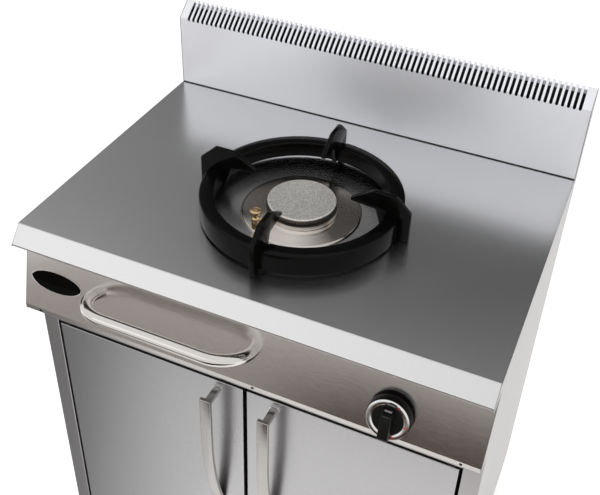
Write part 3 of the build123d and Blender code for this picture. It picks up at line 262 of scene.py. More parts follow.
class Finish:
    """A material under construction, with its main shader at hand."""

    def __init__(self, name, **uniform):
        self.material = bpy.data.materials.new(name)
        self.material.use_nodes = True
        self.tree = self.material.node_tree
        self.shader = self.tree.nodes["Principled BSDF"]
        for key, value in uniform.items():
            self.shader.inputs[key.replace("_", " ")].default_value = value

    def feed(self, socket, value):
        """Links a varying value to a socket, or sets a plain one."""
        if isinstance(value, Wave):
            self.tree.links.new(value.socket, socket)
        else:
            socket.default_value = value

    def node(self, kind, settings=None, inputs=None, output=0):
        """Adds a node: its settings first, then its sockets, given by name or number."""
        made = self.tree.nodes.new(kind)
        for key, value in (settings or {}).items():
            if key == "stops":
                ramp = made.color_ramp
                while len(ramp.elements) < len(value):
                    ramp.elements.new(1.0)
                for element, (place, colour) in zip(ramp.elements, value):
                    element.position = place
                    element.color = colour
            else:
                setattr(made, key, value)
        for key, value in (inputs or {}).items():
            self.feed(made.inputs[key], value)
        return Wave(self, made.outputs[output])

    def coords(self, centre=(0, 0, 0), scale=(1, 1, 1)):
        """Object coordinates moved to a centre and stretched."""
        place = self.node("ShaderNodeTexCoord", output="Object")
        moved = self.node(
            "ShaderNodeVectorMath", {"operation": "SUBTRACT"}, {0: place, 1: tuple(centre)}
        )
        return self.node(
            "ShaderNodeMapping", {"vector_type": "POINT"}, {"Vector": moved, "Scale": scale}
        )

    def noise(self, vector, scale=1.0, detail=2.0, rough=0.5):
        """A cloudy pattern between nought and one."""
        return self.node(
            "ShaderNodeTexNoise",
            inputs={"Vector": vector, "Scale": scale, "Detail": detail, "Roughness": rough},
        )

    def axis(self, vector, letter):
        """One coordinate of a place."""
        return self.node("ShaderNodeSeparateXYZ", inputs={0: vector}, output=letter)

    def blend(self, factor, first, second):
        """A colour between two colours."""
        return self.node(
            "ShaderNodeMix",
            {"data_type": "RGBA", "clamp_factor": True},
            {0: factor, 6: first, 7: second},
            output=2,
        )

    def ramp(self, factor, stops):
        """A colour read from stops of (place, colour)."""
        return self.node("ShaderNodeValToRGB", {"stops": stops}, {0: factor})

    def bump(self, height, strength, distance):
        """Lets the light see a height that the mesh doesn't have."""
        normal = self.node(
            "ShaderNodeBump", inputs={"Strength": strength, "Distance": distance, "Height": height}
        )
        self.feed(self.shader.inputs["Normal"], normal)

    def set(self, **sockets):
        """Feeds the main shader's sockets with varying values."""
        for key, value in sockets.items():
            self.feed(self.shader.inputs[key.replace("_", " ")], value)


def shade_of(value, warm=0.0, green=0.0):
    """A grey of a display value from 0 to 255, slightly warm, cold or green, as linear RGBA."""

    def linear(v):
        v = min(max(v / 255, 0), 1)
        return v / 12.92 if v <= 0.04045 else ((v + 0.055) / 1.055) ** 2.4

    return (linear(value + warm), linear(value + green), linear(value - warm), 1.0)


# %% [markdown]
# ## Finishes for the sheets
# Brushed steel is a metal whose scratches all run one way. The scratches are a noise stretched a
# hundredfold along the brushing; they change the colour a little, the roughness more, and give a
# shallow bump. Broad, faint clouds stand for handling marks and uneven brushing. Two sheets also have
# narrow lines drawn over the steel, which the light alone leaves too pale: the splashback's foot is
# dark where it meets the worktop, and the hem of the worktop's nose is a bright edge between two
# brown lines of painted reflection, where the hem mirrors the panel. Such a line is a band of heights.

# %% Brushed sheet finish
def brushed(name, tone, tint, rough, grain, depth, cloud, lines=None):
    """Brushed steel; grain is the scratches' density along X, Y and Z, per metre.

    The tint is warm and green, depth is the scratches' bump, and cloud is how far the tone strays.
    lines(finish, light) can draw over the steel's colour; it gives the colour and the share of metal.
    """
    finish = Finish(name, Metallic=1.0, Specular_IOR_Level=0.5)
    scratches = finish.noise(finish.coords(scale=grain), 1.0, 3.0, 0.6)
    clouds = finish.noise(finish.coords(scale=(2.2, 3.1, 2.7)), 1.0, 3.0, 0.55)
    specks = finish.noise(finish.coords(), 900.0, 1.0, 0.5)
    light = finish.blend(
        scratches * 0.5 + clouds * 0.25 + specks * 0.25,
        shade_of(tone * (1 - cloud), *tint),
        shade_of(tone * (1 + cloud), *tint),
    )
    if lines:
        light, metal = lines(finish, light)
        finish.set(Metallic=metal)
    finish.set(Base_Color=light, Roughness=scratches * 0.10 + clouds * 0.08 + (rough - 0.09))
    finish.bump(scratches * 0.8 + specks * 0.2, depth, 0.0002)
    return finish.material


def band(value, low, high):
    """One between two values."""
    return (value > low) * (value < high)


JOINT_HEIGHT = 0.0022
SPLASH_METAL = 0.72
nose_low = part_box("worktop")[0]
NOSE_RUN = 0.022
HEM_FOLD, HEM_TOP = (-0.001, 0.0009), (0.0022, 0.0032)


def joint_lines(finish, light):
    """The splashback's foot: a dark line where it meets the worktop."""
    joint = finish.axis(finish.coords(), "Z") < TOP + JOINT_HEIGHT
    return finish.blend(joint, light, shade_of(30)), SPLASH_METAL - joint * SPLASH_METAL


def hem_painted_reflection(finish, light):
    """The nose's folded hem: a bright edge between two brown lines, a painted reflection of the panel.
    """
    place = finish.coords()
    above = finish.axis(place, "Z") - nose_low.z
    front = finish.axis(place, "Y") < nose_low.y + NOSE_RUN
    # The two brown lines are a painted reflection of the panel in the hem.
    brown = front * (band(above, *HEM_FOLD) + band(above, *HEM_TOP))
    return finish.blend(brown, light, shade_of(96, 8, -4)), 1.0 - brown * 0.2


worktop_steel = brushed("worktop_steel", 203, (0, 0), 0.24, (300, 520, 520), 0.025, 0.05, hem_painted_reflection)
splash_steel = brushed("splash_steel", 243, (-3, -2), 0.48, (160, 260, 260), 0.04, 0.02, joint_lines)
panel_steel = brushed("panel_steel", 196, (3, -1), 0.19, (90, 700, 700), 0.05, 0.08)
side_steel = brushed("side_steel", 172, (1, -1), 0.36, (400, 160, 400), 0.08, 0.05)
cabinet_steel = brushed("cabinet_steel", 165, (0, 0), 0.34, (500, 500, 40), 0.10, 0.06)
door_steel = brushed("door_steel", 178, (0, -1), 0.30, (500, 500, 90), 0.08, 0.07)
print("sheet finishes:", [m.name for m in (worktop_steel, splash_steel, panel_steel, door_steel)])

# %% [markdown]
# The flue's back sheet is steel outside, and black inside, where the slots look at it: soot and
# painted shade. Only its rearmost face is left as steel, so the split lies a little in front of that
# face and the one piece stays one mesh.

# %% Flue finish
def soot_and_painted_shade(name, tone, depth_split):
    """Steel behind a depth; in front of it black, for soot and painted shade."""
    finish = Finish(name, Metallic=0.9)
    place = finish.coords()
    steel = finish.noise(finish.coords(scale=(300, 300, 40)), 1.0, 3.0, 0.6)
    soot = finish.noise(place, 60.0, 3.0, 0.6)
    inside = finish.axis(place, "Y") < depth_split
    bare = finish.blend(steel, shade_of(tone * 0.93), shade_of(tone * 1.07))
    # The black in front stands for soot and for painted shade inside the flue.
    black = finish.blend(soot, shade_of(5), shade_of(16, 1))
    finish.set(
        Base_Color=finish.blend(inside, bare, black),
        Metallic=0.9 - inside * 0.9,
        Roughness=inside * 0.4 + steel * 0.1 + 0.34,
    )
    return finish.material


REAR_SKIN = 0.0004
flue_low, flue_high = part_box("flue_back")
flue_steel = soot_and_painted_shade("flue_steel", 205, flue_high.y - REAR_SKIN)
print("flue sheet is", round(flue_high.y - flue_low.y, 4), "deep")

# %% [markdown]
# ## Finishes for turned and cast metal
# Turned steel shows rings round its axis, so its grain runs along the radius of the piece. The
# plate's front sector is lighter than the rest, a painted highlight where turned steel faces the
# light, and the burner's base has two lines of painted shade: one at its foot and one under the
# ported ring. The burner cap is blasted with grit instead: a fine, sparkling speckle without a
# direction.

# %% Turned, blasted and cast finishes
# Heights over the foot of the burner's base, of the two bands of painted shade.
FOOT_SHADE = (-0.0004, 0.0008)
RING_SHADE = (0.0078, 0.0089)


def turned_steel(name, centre, tone, warm, rough, rings, depth, spread, highlight_fan=0.0, foot=None):
    """Steel turned about an upright axis through centre, with so many rings per metre.

    A fan paints a highlight on the front; a foot's height paints two shade lines on the burner's base.
    """
    finish = Finish(name, Metallic=1.0)
    place = finish.coords(centre=centre)
    east = finish.axis(place, "X")
    north = finish.axis(place, "Y")
    radius = (east * east + north * north) ** 0.5
    level = finish.axis(place, "Z")
    section = finish.node("ShaderNodeCombineXYZ", inputs={"X": radius * rings, "Y": level * rings})
    grooves = finish.noise(section, 1.0, 2.0, 0.5)
    clouds = finish.noise(place, 30.0, 3.0, 0.6)
    light = finish.blend(
        grooves * 0.6 + clouds * 0.4,
        shade_of(tone * (1 - spread), warm),
        shade_of(tone * (1 + spread), warm),
    )
    if highlight_fan:
        # Painted highlight: the front sector is lighter, where the turned steel would face the light.
        painted_highlight = finish.ramp(north * -1.0 / radius, [(0.5, (0, 0, 0, 1)), (0.98, (1, 1, 1, 1))])
        light = finish.blend(painted_highlight, light, shade_of(245, warm))
        finish.set(Metallic=1.0 - painted_highlight * highlight_fan)
    if foot is not None:
        # Painted shade: a dark line at the base's foot on the plate and one under the ported ring.
        above = finish.axis(finish.coords(), "Z") - foot
        painted_shade = band(above, *FOOT_SHADE) + band(above, *RING_SHADE)
        light = finish.blend(painted_shade, light, shade_of(40, 4))
        finish.set(Metallic=1.0 - painted_shade * 0.8)
    finish.set(Base_Color=light, Roughness=grooves * 0.12 + clouds * 0.10 + (rough - 0.1))
    finish.bump(grooves, depth, 0.0002)
    return finish.material


def blasted_steel(name, tone, warm):
    """Grit-blasted steel: a bright and dark speckle."""
    finish = Finish(name, Metallic=1.0)
    place = finish.coords()
    fine = finish.noise(place, 1100.0, 2.0, 0.6)
    coarse = finish.noise(place, 520.0, 2.0, 0.6)
    grains = ((0.36, 0.74), (0.5, 1.0), (0.62, 1.2))
    speckle = finish.ramp(
        fine * 0.6 + coarse * 0.4,
        [(place_on_ramp, shade_of(tone * share, warm, 1)) for place_on_ramp, share in grains],
    )
    finish.set(Base_Color=speckle, Roughness=coarse * 0.3 + 0.28)
    finish.bump(fine, 0.2, 0.0002)
    return finish.material


def cast_metal(name, dark, light, metallic, rough, grit, depth):
    """A plain metal or plastic between two colours, with a fine grit and faint clouds."""
    finish = Finish(name, Metallic=metallic)
    place = finish.coords()
    clouds = finish.noise(place, 18.0, 4.0, 0.6)
    pores = finish.noise(place, grit, 2.0, 0.5)
    finish.set(
        Base_Color=finish.blend(clouds * 0.7 + pores * 0.3, dark, light),
        Roughness=clouds * 0.14 + pores * 0.06 + (rough - 0.1),
    )
    finish.bump(pores * 0.7 + clouds * 0.3, depth, 0.0004)
    return finish.material


burner_middle = tuple(BURNER)
plate_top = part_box("burner_plate")[1].z
plate_steel = turned_steel("plate_steel", burner_middle, 160, 6, 0.17, 900.0, 0.05, 0.05, highlight_fan=0.85)
burner_steel = turned_steel(
    "burner_steel", burner_middle, 222, 5, 0.28, 700.0, 0.03, 0.03, foot=plate_top
)
port_steel = cast_metal("port_steel", shade_of(26, 2), shade_of(165, 6), 0.8, 0.4, 800.0, 0.5)
cap_steel = blasted_steel("cap_steel", 222, 5)
galvanised = cast_metal("galvanised_sheet", shade_of(150, -1), shade_of(190, -2), 0.9, 0.42, 60.0, 0.1)
brass = cast_metal("brass_turned", (0.52, 0.36, 0.18, 1), (0.72, 0.54, 0.32, 1), 1.0, 0.26, 500.0, 0.1)
copper = cast_metal("copper_tube", (0.45, 0.20, 0.11, 1), (0.62, 0.30, 0.18, 1), 1.0, 0.32, 300.0, 0.1)
pipe_steel = cast_metal("pipe_steel", shade_of(105), shade_of(150), 0.9, 0.4, 200.0, 0.15)
screw_steel = cast_metal("screw_steel", shade_of(140), shade_of(185), 1.0, 0.3, 400.0, 0.1)
bush_plastic = cast_metal("bush_plastic", shade_of(30), shade_of(48), 0.0, 0.5, 200.0, 0.1)
magnet_black = cast_metal("magnet_black", shade_of(34), shade_of(52), 0.0, 0.5, 200.0, 0.2)
foot_black = cast_metal("foot_black", shade_of(38), shade_of(56), 0.0, 0.6, 300.0, 0.3)
print("cast and turned finishes ready")

# %% [markdown]
# ## Finishes for enamel, plastic and bright trim
# Black enamel is a dark base under a clear, glossy skin that is a little wavy where it ran before it
# was fired. The knob is satin plastic. Handle and rail are polished lengthways.

# %% Enamel, plastic and trim finishes
def enamel(name, tone, rough, wave, gloss):
    """Fired enamel: black with a glossy coat and an orange-peel surface."""
    finish = Finish(
        name, Metallic=0.0, IOR=1.3, Specular_IOR_Level=gloss, Coat_Weight=0.02, Coat_Roughness=0.04
    )
    place = finish.coords()
    peel = finish.noise(place, 160.0, 2.0, 0.5)
    pits = finish.noise(place, 900.0, 1.0, 0.5)
    finish.set(
        Base_Color=finish.blend(peel, shade_of(tone * 0.6), shade_of(tone * 1.4, 1)),
        Roughness=peel * 0.08 + pits * 0.04 + rough,
    )
    finish.bump(peel * 0.8 + pits * 0.2, wave, 0.0004)
    return finish.material


def polished(name, tone, warm, rough, grain):
    """Bright trim: polished along one direction."""
    finish = Finish(name, Metallic=1.0)
    lines = finish.noise(finish.coords(scale=grain), 1.0, 2.0, 0.5)
    clouds = finish.noise(finish.coords(), 40.0, 2.0, 0.5)
    finish.set(
        Base_Color=finish.blend(
            lines * 0.7 + clouds * 0.3, shade_of(tone * 0.93, warm), shade_of(tone * 1.05, warm)
        ),
        Roughness=lines * 0.08 + clouds * 0.05 + (rough - 0.06),
    )
    finish.bump(lines, 0.05, 0.0002)
    return finish.material


black_enamel = enamel("black_enamel", 9, 0.09, 0.12, 0.2)
rail_bright = polished("rail_bright", 208, 3, 0.12, (8, 900, 900))
handle_nickel = polished("handle_nickel", 172, 3, 0.24, (600, 600, 8))
rosette_bright = polished("rosette_bright", 235, 1, 0.10, (700, 700, 700))
badge_black = enamel("badge_black", 5, 0.08, 0.05, 0.05)
print("enamel and trim finishes ready")

# %% [markdown]
# ## The knob's plastic and its scale
# The scale ring is one bright disc with small coloured marks: a dark arc at its top, a red dot beside
# it, a red tick after three o'clock and a red dot after five. Each mark is a place on a clock face
# about the knob's axis, so the marks turn with the knob. Two pale glints are painted across the grip
# bar's upper end as highlights, where its rounded edge would catch the light.

# %% Knob finishes
spindle_low, spindle_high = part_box("valve_spindle")
AXIS = (spindle_low + spindle_high) / 2
scale_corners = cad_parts["knob_scale_ring"].data.vertices
KNOB = AXIS + PANEL_OUT * max((Vector(corner.co) - AXIS).dot(PANEL_OUT) for corner in scale_corners)
KNOB_TURN = math.pi / 2 - PANEL_TILT


def dial_place(finish):
    """Right, up and out from the knob's axis, in metres."""
    place = finish.node("ShaderNodeTexCoord", output="Object")
    away = finish.node(
        "ShaderNodeVectorMath", {"operation": "SUBTRACT"}, {0: place, 1: tuple(KNOB)}
    )

    def along(direction):
        return finish.node(
            "ShaderNodeVectorMath",
            {"operation": "DOT_PRODUCT"},
            {0: away, 1: tuple(direction)},
            output="Value",
        )

    return along((1, 0, 0)), along(PANEL_UP), along(PANEL_OUT)


def near_mark(right, up, clock, radius, size):
    """One where a place is within a mark's size of its clock position on the dial."""
    angle = math.radians(90 - clock * 30)
    across = right - radius * math.cos(angle)
    above = up - radius * math.sin(angle)
    return (across * across + above * above) < size * size


DOT_SIZE, TICK_SIZE = 0.0021, 0.0013
# Each mark: its place on the clock, its distance from the axis and its size.
RED_MARKS = (
    (0.95, 0.0282, DOT_SIZE),
    (5.2, 0.0290, DOT_SIZE),
    (3.23, 0.0266, TICK_SIZE),
    (3.23, 0.0280, TICK_SIZE),
    (3.23, 0.0294, TICK_SIZE),
)
ARC_ACROSS, ARC_AWAY = (-0.0015, 0.0105), (0.0278, 0.0306)
PRINTED_RED, PRINTED_BLACK = (0.42, 0.03, 0.02, 1), (0.02, 0.02, 0.02, 1)


def scale_finish():
    """The scale's bright steel with its printed marks: red ones, and a dark arc above the axis."""
    finish = Finish("scale_bright", Metallic=1.0)
    right, up, _ = dial_place(finish)
    radius = (right * right + up * up) ** 0.5
    from_axis = finish.node("ShaderNodeCombineXYZ", inputs={"X": radius * 2200.0})
    rings = finish.noise(from_axis, 1.0, 2.0, 0.5)
    steel = finish.blend(rings, shade_of(205, 1), shade_of(240, 0))
    dark = band(right, *ARC_ACROSS) * band(radius, *ARC_AWAY) * (up > 0.0)
    reds = sum(near_mark(right, up, *mark) for mark in RED_MARKS)
    printed = finish.blend(reds, steel, PRINTED_RED)
    printed = finish.blend(dark, printed, PRINTED_BLACK)
    ink = (reds + dark) > 0.5
    finish.set(Base_Color=printed, Metallic=1.0 - ink, Roughness=rings * 0.1 + ink * 0.25 + 0.14)
    return finish.material


def knob_finish():
    """The knob's satin plastic, with two glints painted as highlights on its grip bar."""
    finish = Finish("knob_black", Metallic=0.0, IOR=1.4, Specular_IOR_Level=0.2)
    right, up, out = dial_place(finish)
    grain = finish.noise(finish.coords(), 1100.0, 2.0, 0.5)
    clouds = finish.noise(finish.coords(), 60.0, 2.0, 0.5)
    black = finish.blend(grain * 0.5 + clouds * 0.5, shade_of(10), shade_of(19, 1))
    aside = finish.node("ShaderNodeMath", {"operation": "ABSOLUTE"}, {0: right})
    # Painted highlights: two pale glints across the grip bar's upper end.
    bright_glint = band(up, 0.0174, 0.0187) * (aside < 0.0056)
    faint_glint = band(up, 0.0132, 0.0140) * (aside < 0.0048) * 0.2
    on_grip = band(out, 0.0030, 0.0160)
    with_painted_glints = finish.blend((bright_glint + faint_glint) * on_grip, black, shade_of(150, 1))
    finish.set(Base_Color=with_painted_glints, Roughness=grain * 0.12 + clouds * 0.06 + 0.26)
    finish.bump(grain, 0.08, 0.0003)
    return finish.material


scale_bright = scale_finish()
knob_black = knob_finish()
print("knob at", tuple(round(c, 4) for c in KNOB))

# %% [markdown]
# ## Carried-over sheets get their finishes
# The worktop, the splashback, the panel, the doors' skins and everything inside keep the solids'
# shape. Each gets the finish that its place calls for.

# %% Sheet finishes on the solids
def finish_node(node, material):
    """Gives one finish to a carried-over piece."""
    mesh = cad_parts[node].data
    mesh.materials.clear()
    mesh.materials.append(material)


worn_by = {
    "worktop": worktop_steel,
    "splashback": splash_steel,
    "flue_back": flue_steel,
    "control_panel": panel_steel,
    "left_side_skirt": side_steel,
    "right_side_skirt": side_steel,
    "left_side_panel": side_steel,
    "right_side_panel": side_steel,
    "back_panel": cabinet_steel,
    "cabinet_floor": cabinet_steel,
    "top_front_rail": cabinet_steel,
    "worktop_stiffeners": galvanised,
    "heat_shield": galvanised,
    "burner_bracket": galvanised,
    "hinge_brackets": galvanised,
    "foot_sleeves": galvanised,
    "mixing_tube": burner_steel,
    "air_shutter": burner_steel,
    "injector": brass,
    "valve_body": brass,
    "valve_plug": brass,
    "tube_nuts": brass,
    "pilot_tube_nuts": brass,
    "pilot_tube": copper,
    "thermocouple": copper,
    "burner_feed_tube": pipe_steel,
    "gas_inlet_pipe": pipe_steel,
    "valve_spindle": screw_steel,
    "rail_screws": screw_steel,
    "hinge_pins": screw_steel,
    "module_screws": screw_steel,
    "door_magnets": magnet_black,
}
for door in ("left", "right"):
    worn_by[f"{door}_door_skin"] = door_steel
    worn_by[f"{door}_door_liner"] = door_steel
    worn_by[f"{door}_hinge_bushes"] = bush_plastic
    worn_by[f"{door}_handle_screws"] = screw_steel
for node, material in worn_by.items():
    finish_node(node, material)
print("finished solids:", len(worn_by))

# %% [markdown]
# ## The burner plate and the burner
# The plate is a shallow pressed disc with a rounded shoulder. The burner stands on it: a base ring, a
# ported ring and a loose cap. All are turned about the burner's axis. Soft edges matter most here,
# because each one catches a thin line of light. Below its edge the cap has a round spigot that drops
# into the ported ring and keeps it in the middle.

# %% Burner plate, base and cap
def dress(piece, material, node, body="stove_body"):
    """Gives a new piece its finish, ties it to a body and has it stand for a carried-over node."""
    piece.data.materials.clear()
    piece.data.materials.append(material)
    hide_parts(node)
    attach(piece, body)
    return piece


def span(node):
    """A node's lowest and highest height over the worktop, in mm."""
    low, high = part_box(node)
    return (low.z - TOP) / MM, (high.z - TOP) / MM


PLATE_GAUGE = 1.2
plate_foot, plate_rise = span("burner_plate")
plate = turned(
    "burner_plate_dressed",
    BURNER,
    [
        (99.1, plate_foot),
        (101.45, plate_foot),
        (101.1, plate_foot + 0.5),
        (98.8, plate_rise - 0.45),
        (98.3, plate_rise - 0.12),
        (97.4, plate_rise),
        (39.0, plate_rise),
        (39.0, plate_rise - PLATE_GAUGE),
        (96.8, plate_rise - PLATE_GAUGE),
        (99.1, plate_foot),
    ],
    steps=192,
    closed=True,
)
dress(plate, plate_steel, "burner_plate")

THROAT_FLOOR = 4.0
BODY_PLAY = 0.2
throat_foot, body_top = span("burner_body")
body_foot = plate_rise + BODY_PLAY
base = turned(
    "burner_base_dressed",
    BURNER,
    [
        (34.0, throat_foot + THROAT_FLOOR),
        (34.0, body_top - 0.4),
        (34.4, body_top),
        (58.8, body_top),
        (59.7, body_top - 0.4),
        (60.0, body_top - 1.3),
        (60.0, body_foot + 0.8),
        (59.4, body_foot),
        (38.0, body_foot),
        (38.0, throat_foot + 1.0),
        (37.0, throat_foot),
        (0.0, throat_foot),
        (0.0, throat_foot + THROAT_FLOOR),
        (34.0, throat_foot + THROAT_FLOOR),
    ],
    steps=128,
    closed=True,
)
CAP_SPIGOT = 4.0
cap_foot, cap_top = span("burner_cap")
cap_edge = cap_foot + CAP_SPIGOT
cap = turned(
    "burner_cap_dressed",
    BURNER,
    [
        (0.0, cap_foot),
        (38.4, cap_foot),
        (39.0, cap_foot + 0.6),
        (39.0, cap_edge),
        (56.6, cap_edge),
        (57.3, cap_edge + 0.4),
        (57.5, cap_edge + 1.1),
        (57.5, cap_top - 1.3),
        (57.2, cap_top - 0.6),
        (56.5, cap_top - 0.15),
        (55.6, cap_top),
        (54.0, cap_top - 0.12),
        (0.0, cap_top - 0.12),
    ],
    steps=160,
)
dress(cap, cap_steel, "burner_cap", body="burner_cap")
print("plate, base and cap turned")

# %% [markdown]
# The base's socket takes the mixing tube from the front, below the worktop: a short boss with a bore,
# set into the throat. It's cut by hand with a boolean, as its curve on the throat isn't a turned one.

# %% Socket of the burner base
def cylinder(name, start, end, radius):
    """A closed round bar between two places, in metres, for adding or cutting."""
    way = end - start
    deselect()
    bpy.ops.mesh.primitive_cylinder_add(
        vertices=48, radius=radius, depth=way.length, location=(start + end) / 2
    )
    bar = bpy.context.object
    bar.rotation_euler = UP.rotation_difference(way).to_euler()
    return close_piece(bar, name)


def join_or_cut(piece, other, operation):
    """Joins or cuts a piece with another by a boolean, and takes the other away."""
    apply_modifier(piece, "BOOLEAN", operation=operation, solver="EXACT", object=other)
    bpy.data.objects.remove(other, do_unlink=True)


tube_low, tube_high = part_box("mixing_tube")
tube_level = (tube_low.z + tube_high.z) / 2


def in_front(distance):
    """A place on the mixing tube's axis, so far in front of the burner's middle."""
    return Vector((0, BURNER.y - distance, tube_level))


SOCKET_FRONT, SOCKET_FLOOR, THROAT_WALL, THROAT_INSIDE = 0.052, 0.0439, 0.034, 0.020
boss = cylinder("boss", in_front(SOCKET_FRONT), in_front(THROAT_WALL), 0.0181)
join_or_cut(base, boss, "UNION")
bore = cylinder("bore", in_front(SOCKET_FRONT + 0.01), in_front(SOCKET_FLOOR), 0.0141)
join_or_cut(base, bore, "DIFFERENCE")
gas_way = cylinder("gas_way", in_front(SOCKET_FRONT), in_front(THROAT_INSIDE), 0.0125)
join_or_cut(base, gas_way, "DIFFERENCE")
dress(base, burner_steel, "burner_body")
shade(base)
print("base faces:", len(base.data.polygons))

# %% [markdown]
# The ported ring has a row of fine ports round it. Every second pair of faces on its outer wall is
# inset and pushed in, which is how one would model a row of ports by hand; the finish only makes it
# dark and speckled.

# %% Port ring
port_foot, port_top = span("burner_port_ring")
ports = turned(
    "burner_port_ring_dressed",
    BURNER,
    [
        (40.0, port_foot),
        (40.0, port_top),
        (53.9, port_top),
        (54.5, port_top - 0.6),
        (54.5, port_top - 2.6),
        (54.5, port_foot + 2.6),
        (54.5, port_foot + 0.6),
        (53.9, port_foot),
        (40.0, port_foot),
    ],
    steps=240,
    closed=True,
)
open_piece(ports)
PORTS_MIDDLE = BURNER + UP * ((port_foot + port_top) / 2 * MM)
PORT_PITCH, PORT_OPENING = 6, 3
PORT_RIM, PORT_DEPTH = 0.0003, 0.004


def is_port(face):
    """The outer wall's middle row, three degrees of every six."""
    away = face.calc_center_median() - PORTS_MIDDLE
    out = math.hypot(away.x, away.y)
    turn = math.degrees(math.atan2(away.y, away.x)) % PORT_PITCH
    return out > 0.053 and abs(away.z) < 0.0005 and turn < PORT_OPENING


port_faces = pick(ports, is_port)
bpy.ops.mesh.inset(thickness=PORT_RIM, use_individual=False)
bpy.ops.mesh.extrude_region_shrink_fatten(TRANSFORM_OT_shrink_fatten={"value": -PORT_DEPTH})
bpy.ops.object.mode_set(mode="OBJECT")
shade(ports)
dress(ports, port_steel, "burner_port_ring")
print("port faces pushed in:", port_faces)

# %% [markdown]
# ## The pilot burner
# A small brass burner beside the main one: a shank, a waist and a mushroom head, with a short side
# nozzle that points to the burner so that its flame reaches the ports.

# %% Pilot burner
PILOT_ANGLE = math.radians(-121)
PILOT_DISTANCE = 0.091
PILOT = BURNER + Vector((math.cos(PILOT_ANGLE), math.sin(PILOT_ANGLE), 0)) * PILOT_DISTANCE
_, head = span("pilot_burner")
pilot = turned(
    "pilot_burner_dressed",
    PILOT,
    [
        (0.0, -12.0),
        (4.5, -12.0),
        (4.5, body_foot),
        (6.6, body_foot),
        (7.0, body_foot + 0.5),
        (7.0, head - 15.6),
        (6.6, head - 15.0),
        (4.6, head - 13.4),
        (4.5, head - 12.9),
        (4.5, head - 9.2),
        (5.4, head - 8.4),
        (9.0, head - 6.1),
        (9.5, head - 5.4),
        (9.5, head - 1.6),
        (9.2, head - 0.6),
        (8.3, head),
        (2.2, head),
        (1.8, head - 0.8),
        (0.0, head - 0.8),
    ],
    steps=64,
)
nozzle_level = TOP + (body_foot + (head - body_foot) / 3) * MM
inward = (BURNER - PILOT).normalized()
nozzle = turned(
    "nozzle",
    Vector((PILOT.x, PILOT.y, nozzle_level)),
    [
        (0.0, 4.0),
        (2.6, 4.0),
        (2.6, 12.6),
        (2.1, 13.0),
        (2.1, 14.8),
        (1.2, 15.0),
        (1.2, 12.0),
        (0.0, 12.0),
    ],
    steps=40,
    axis=inward,
)
join_or_cut(pilot, nozzle, "UNION")
shade(pilot)
dress(pilot, brass, "pilot_burner")
print("pilot burner at", tuple(round(c, 4) for c in PILOT))

# %% [markdown]
# ## The wok ring and its fins
# The ring is an upside-down channel of cast iron, enamelled black. Its outer edge is well rounded, and
# a shallow recess crosses it under each fin. The section is turned, the recesses are cut by boxes, and
# a bevel softens what is left sharp.

# %% Wok ring
def box_piece(name, centre, size, turn=0.0):
    """A box for adding or cutting, turned about the upright axis."""
    deselect()
    bpy.ops.mesh.primitive_cube_add(size=1, location=centre, rotation=(0, 0, turn), scale=size)
    return close_piece(bpy.context.object, name)


ring_foot, ring_top = span("wok_ring")
INNER_FOOT = 13.5
RECESS_DEPTH = 3.0
RECESS_RADIUS = 0.158
RECESS_BOX = (0.04, 0.024, 2 * RECESS_DEPTH * MM)
wok_ring = turned(
    "wok_ring_dressed",
    BURNER,
    [
        (164.0, ring_foot + 0.6),
        (164.6, ring_foot),
        (169.2, ring_foot),
        (170.0, ring_foot + 0.8),
        (170.0, ring_top - 2.4),
        (169.7, ring_top - 1.3),
        (168.9, ring_top - 0.4),
        (167.8, ring_top),
        (148.0, ring_top),
        (146.9, ring_top - 0.4),
        (146.2, ring_top - 1.2),
        (146.0, ring_top - 2.2),
        (146.0, INNER_FOOT + 0.8),
        (146.8, INNER_FOOT),
        (151.4, INNER_FOOT),
        (152.0, INNER_FOOT + 0.6),
        (152.0, ring_top - 6.0),
        (164.0, ring_top - 6.0),
        (164.0, ring_foot + 0.6),
    ],
    steps=256,
    closed=True,
)
for quarter in range(4):
    turn = quarter * math.pi / 2
    place = BURNER + Vector((math.cos(turn), math.sin(turn), 0)) * RECESS_RADIUS
    place.z = TOP + ring_top * MM
    join_or_cut(wok_ring, box_piece("recess", place, RECESS_BOX, turn), "DIFFERENCE")
soften(wok_ring, 0.0005, 2, 40)
dress(wok_ring, black_enamel, "wok_ring", body="wok_ring")
print("wok ring faces:", len(wok_ring.data.polygons))

# %% [markdown]
# A fin is a flat casting. Its outline is drawn vertex by vertex, filled, and given its thickness; then
# the long edges are rounded. The other three are copies of the first, turned by a quarter each.

# %% Fins
def outlined(name, points, thickness, along, up, out, origin):
    """A flat piece: an outline in mm in the plane of along and up, thickened to both sides of it."""
    deselect()
    bpy.ops.mesh.primitive_plane_add(size=0.001, location=(0, 0, 0))
    piece = bpy.context.object
    bpy.ops.object.mode_set(mode="EDIT")
    bpy.ops.mesh.select_all(action="SELECT")
    bpy.ops.mesh.merge(type="CENTER")

    def place(point):
        return origin + along * (point[0] * MM) + up * (point[1] * MM)

    here = place(points[0])
    bpy.ops.transform.translate(value=here)
    for point in points[1:]:
        target = place(point)
        bpy.ops.mesh.extrude_vertices_move(TRANSFORM_OT_translate={"value": target - here})
        here = target
    bpy.ops.mesh.select_all(action="SELECT")
    bpy.ops.mesh.edge_face_add()
    bpy.ops.mesh.select_all(action="SELECT")
    bpy.ops.transform.translate(value=out * (-thickness / 2 * MM))
    bpy.ops.mesh.extrude_region_move(TRANSFORM_OT_translate={"value": out * (thickness * MM)})
    face_out()
    return close_piece(piece, name)


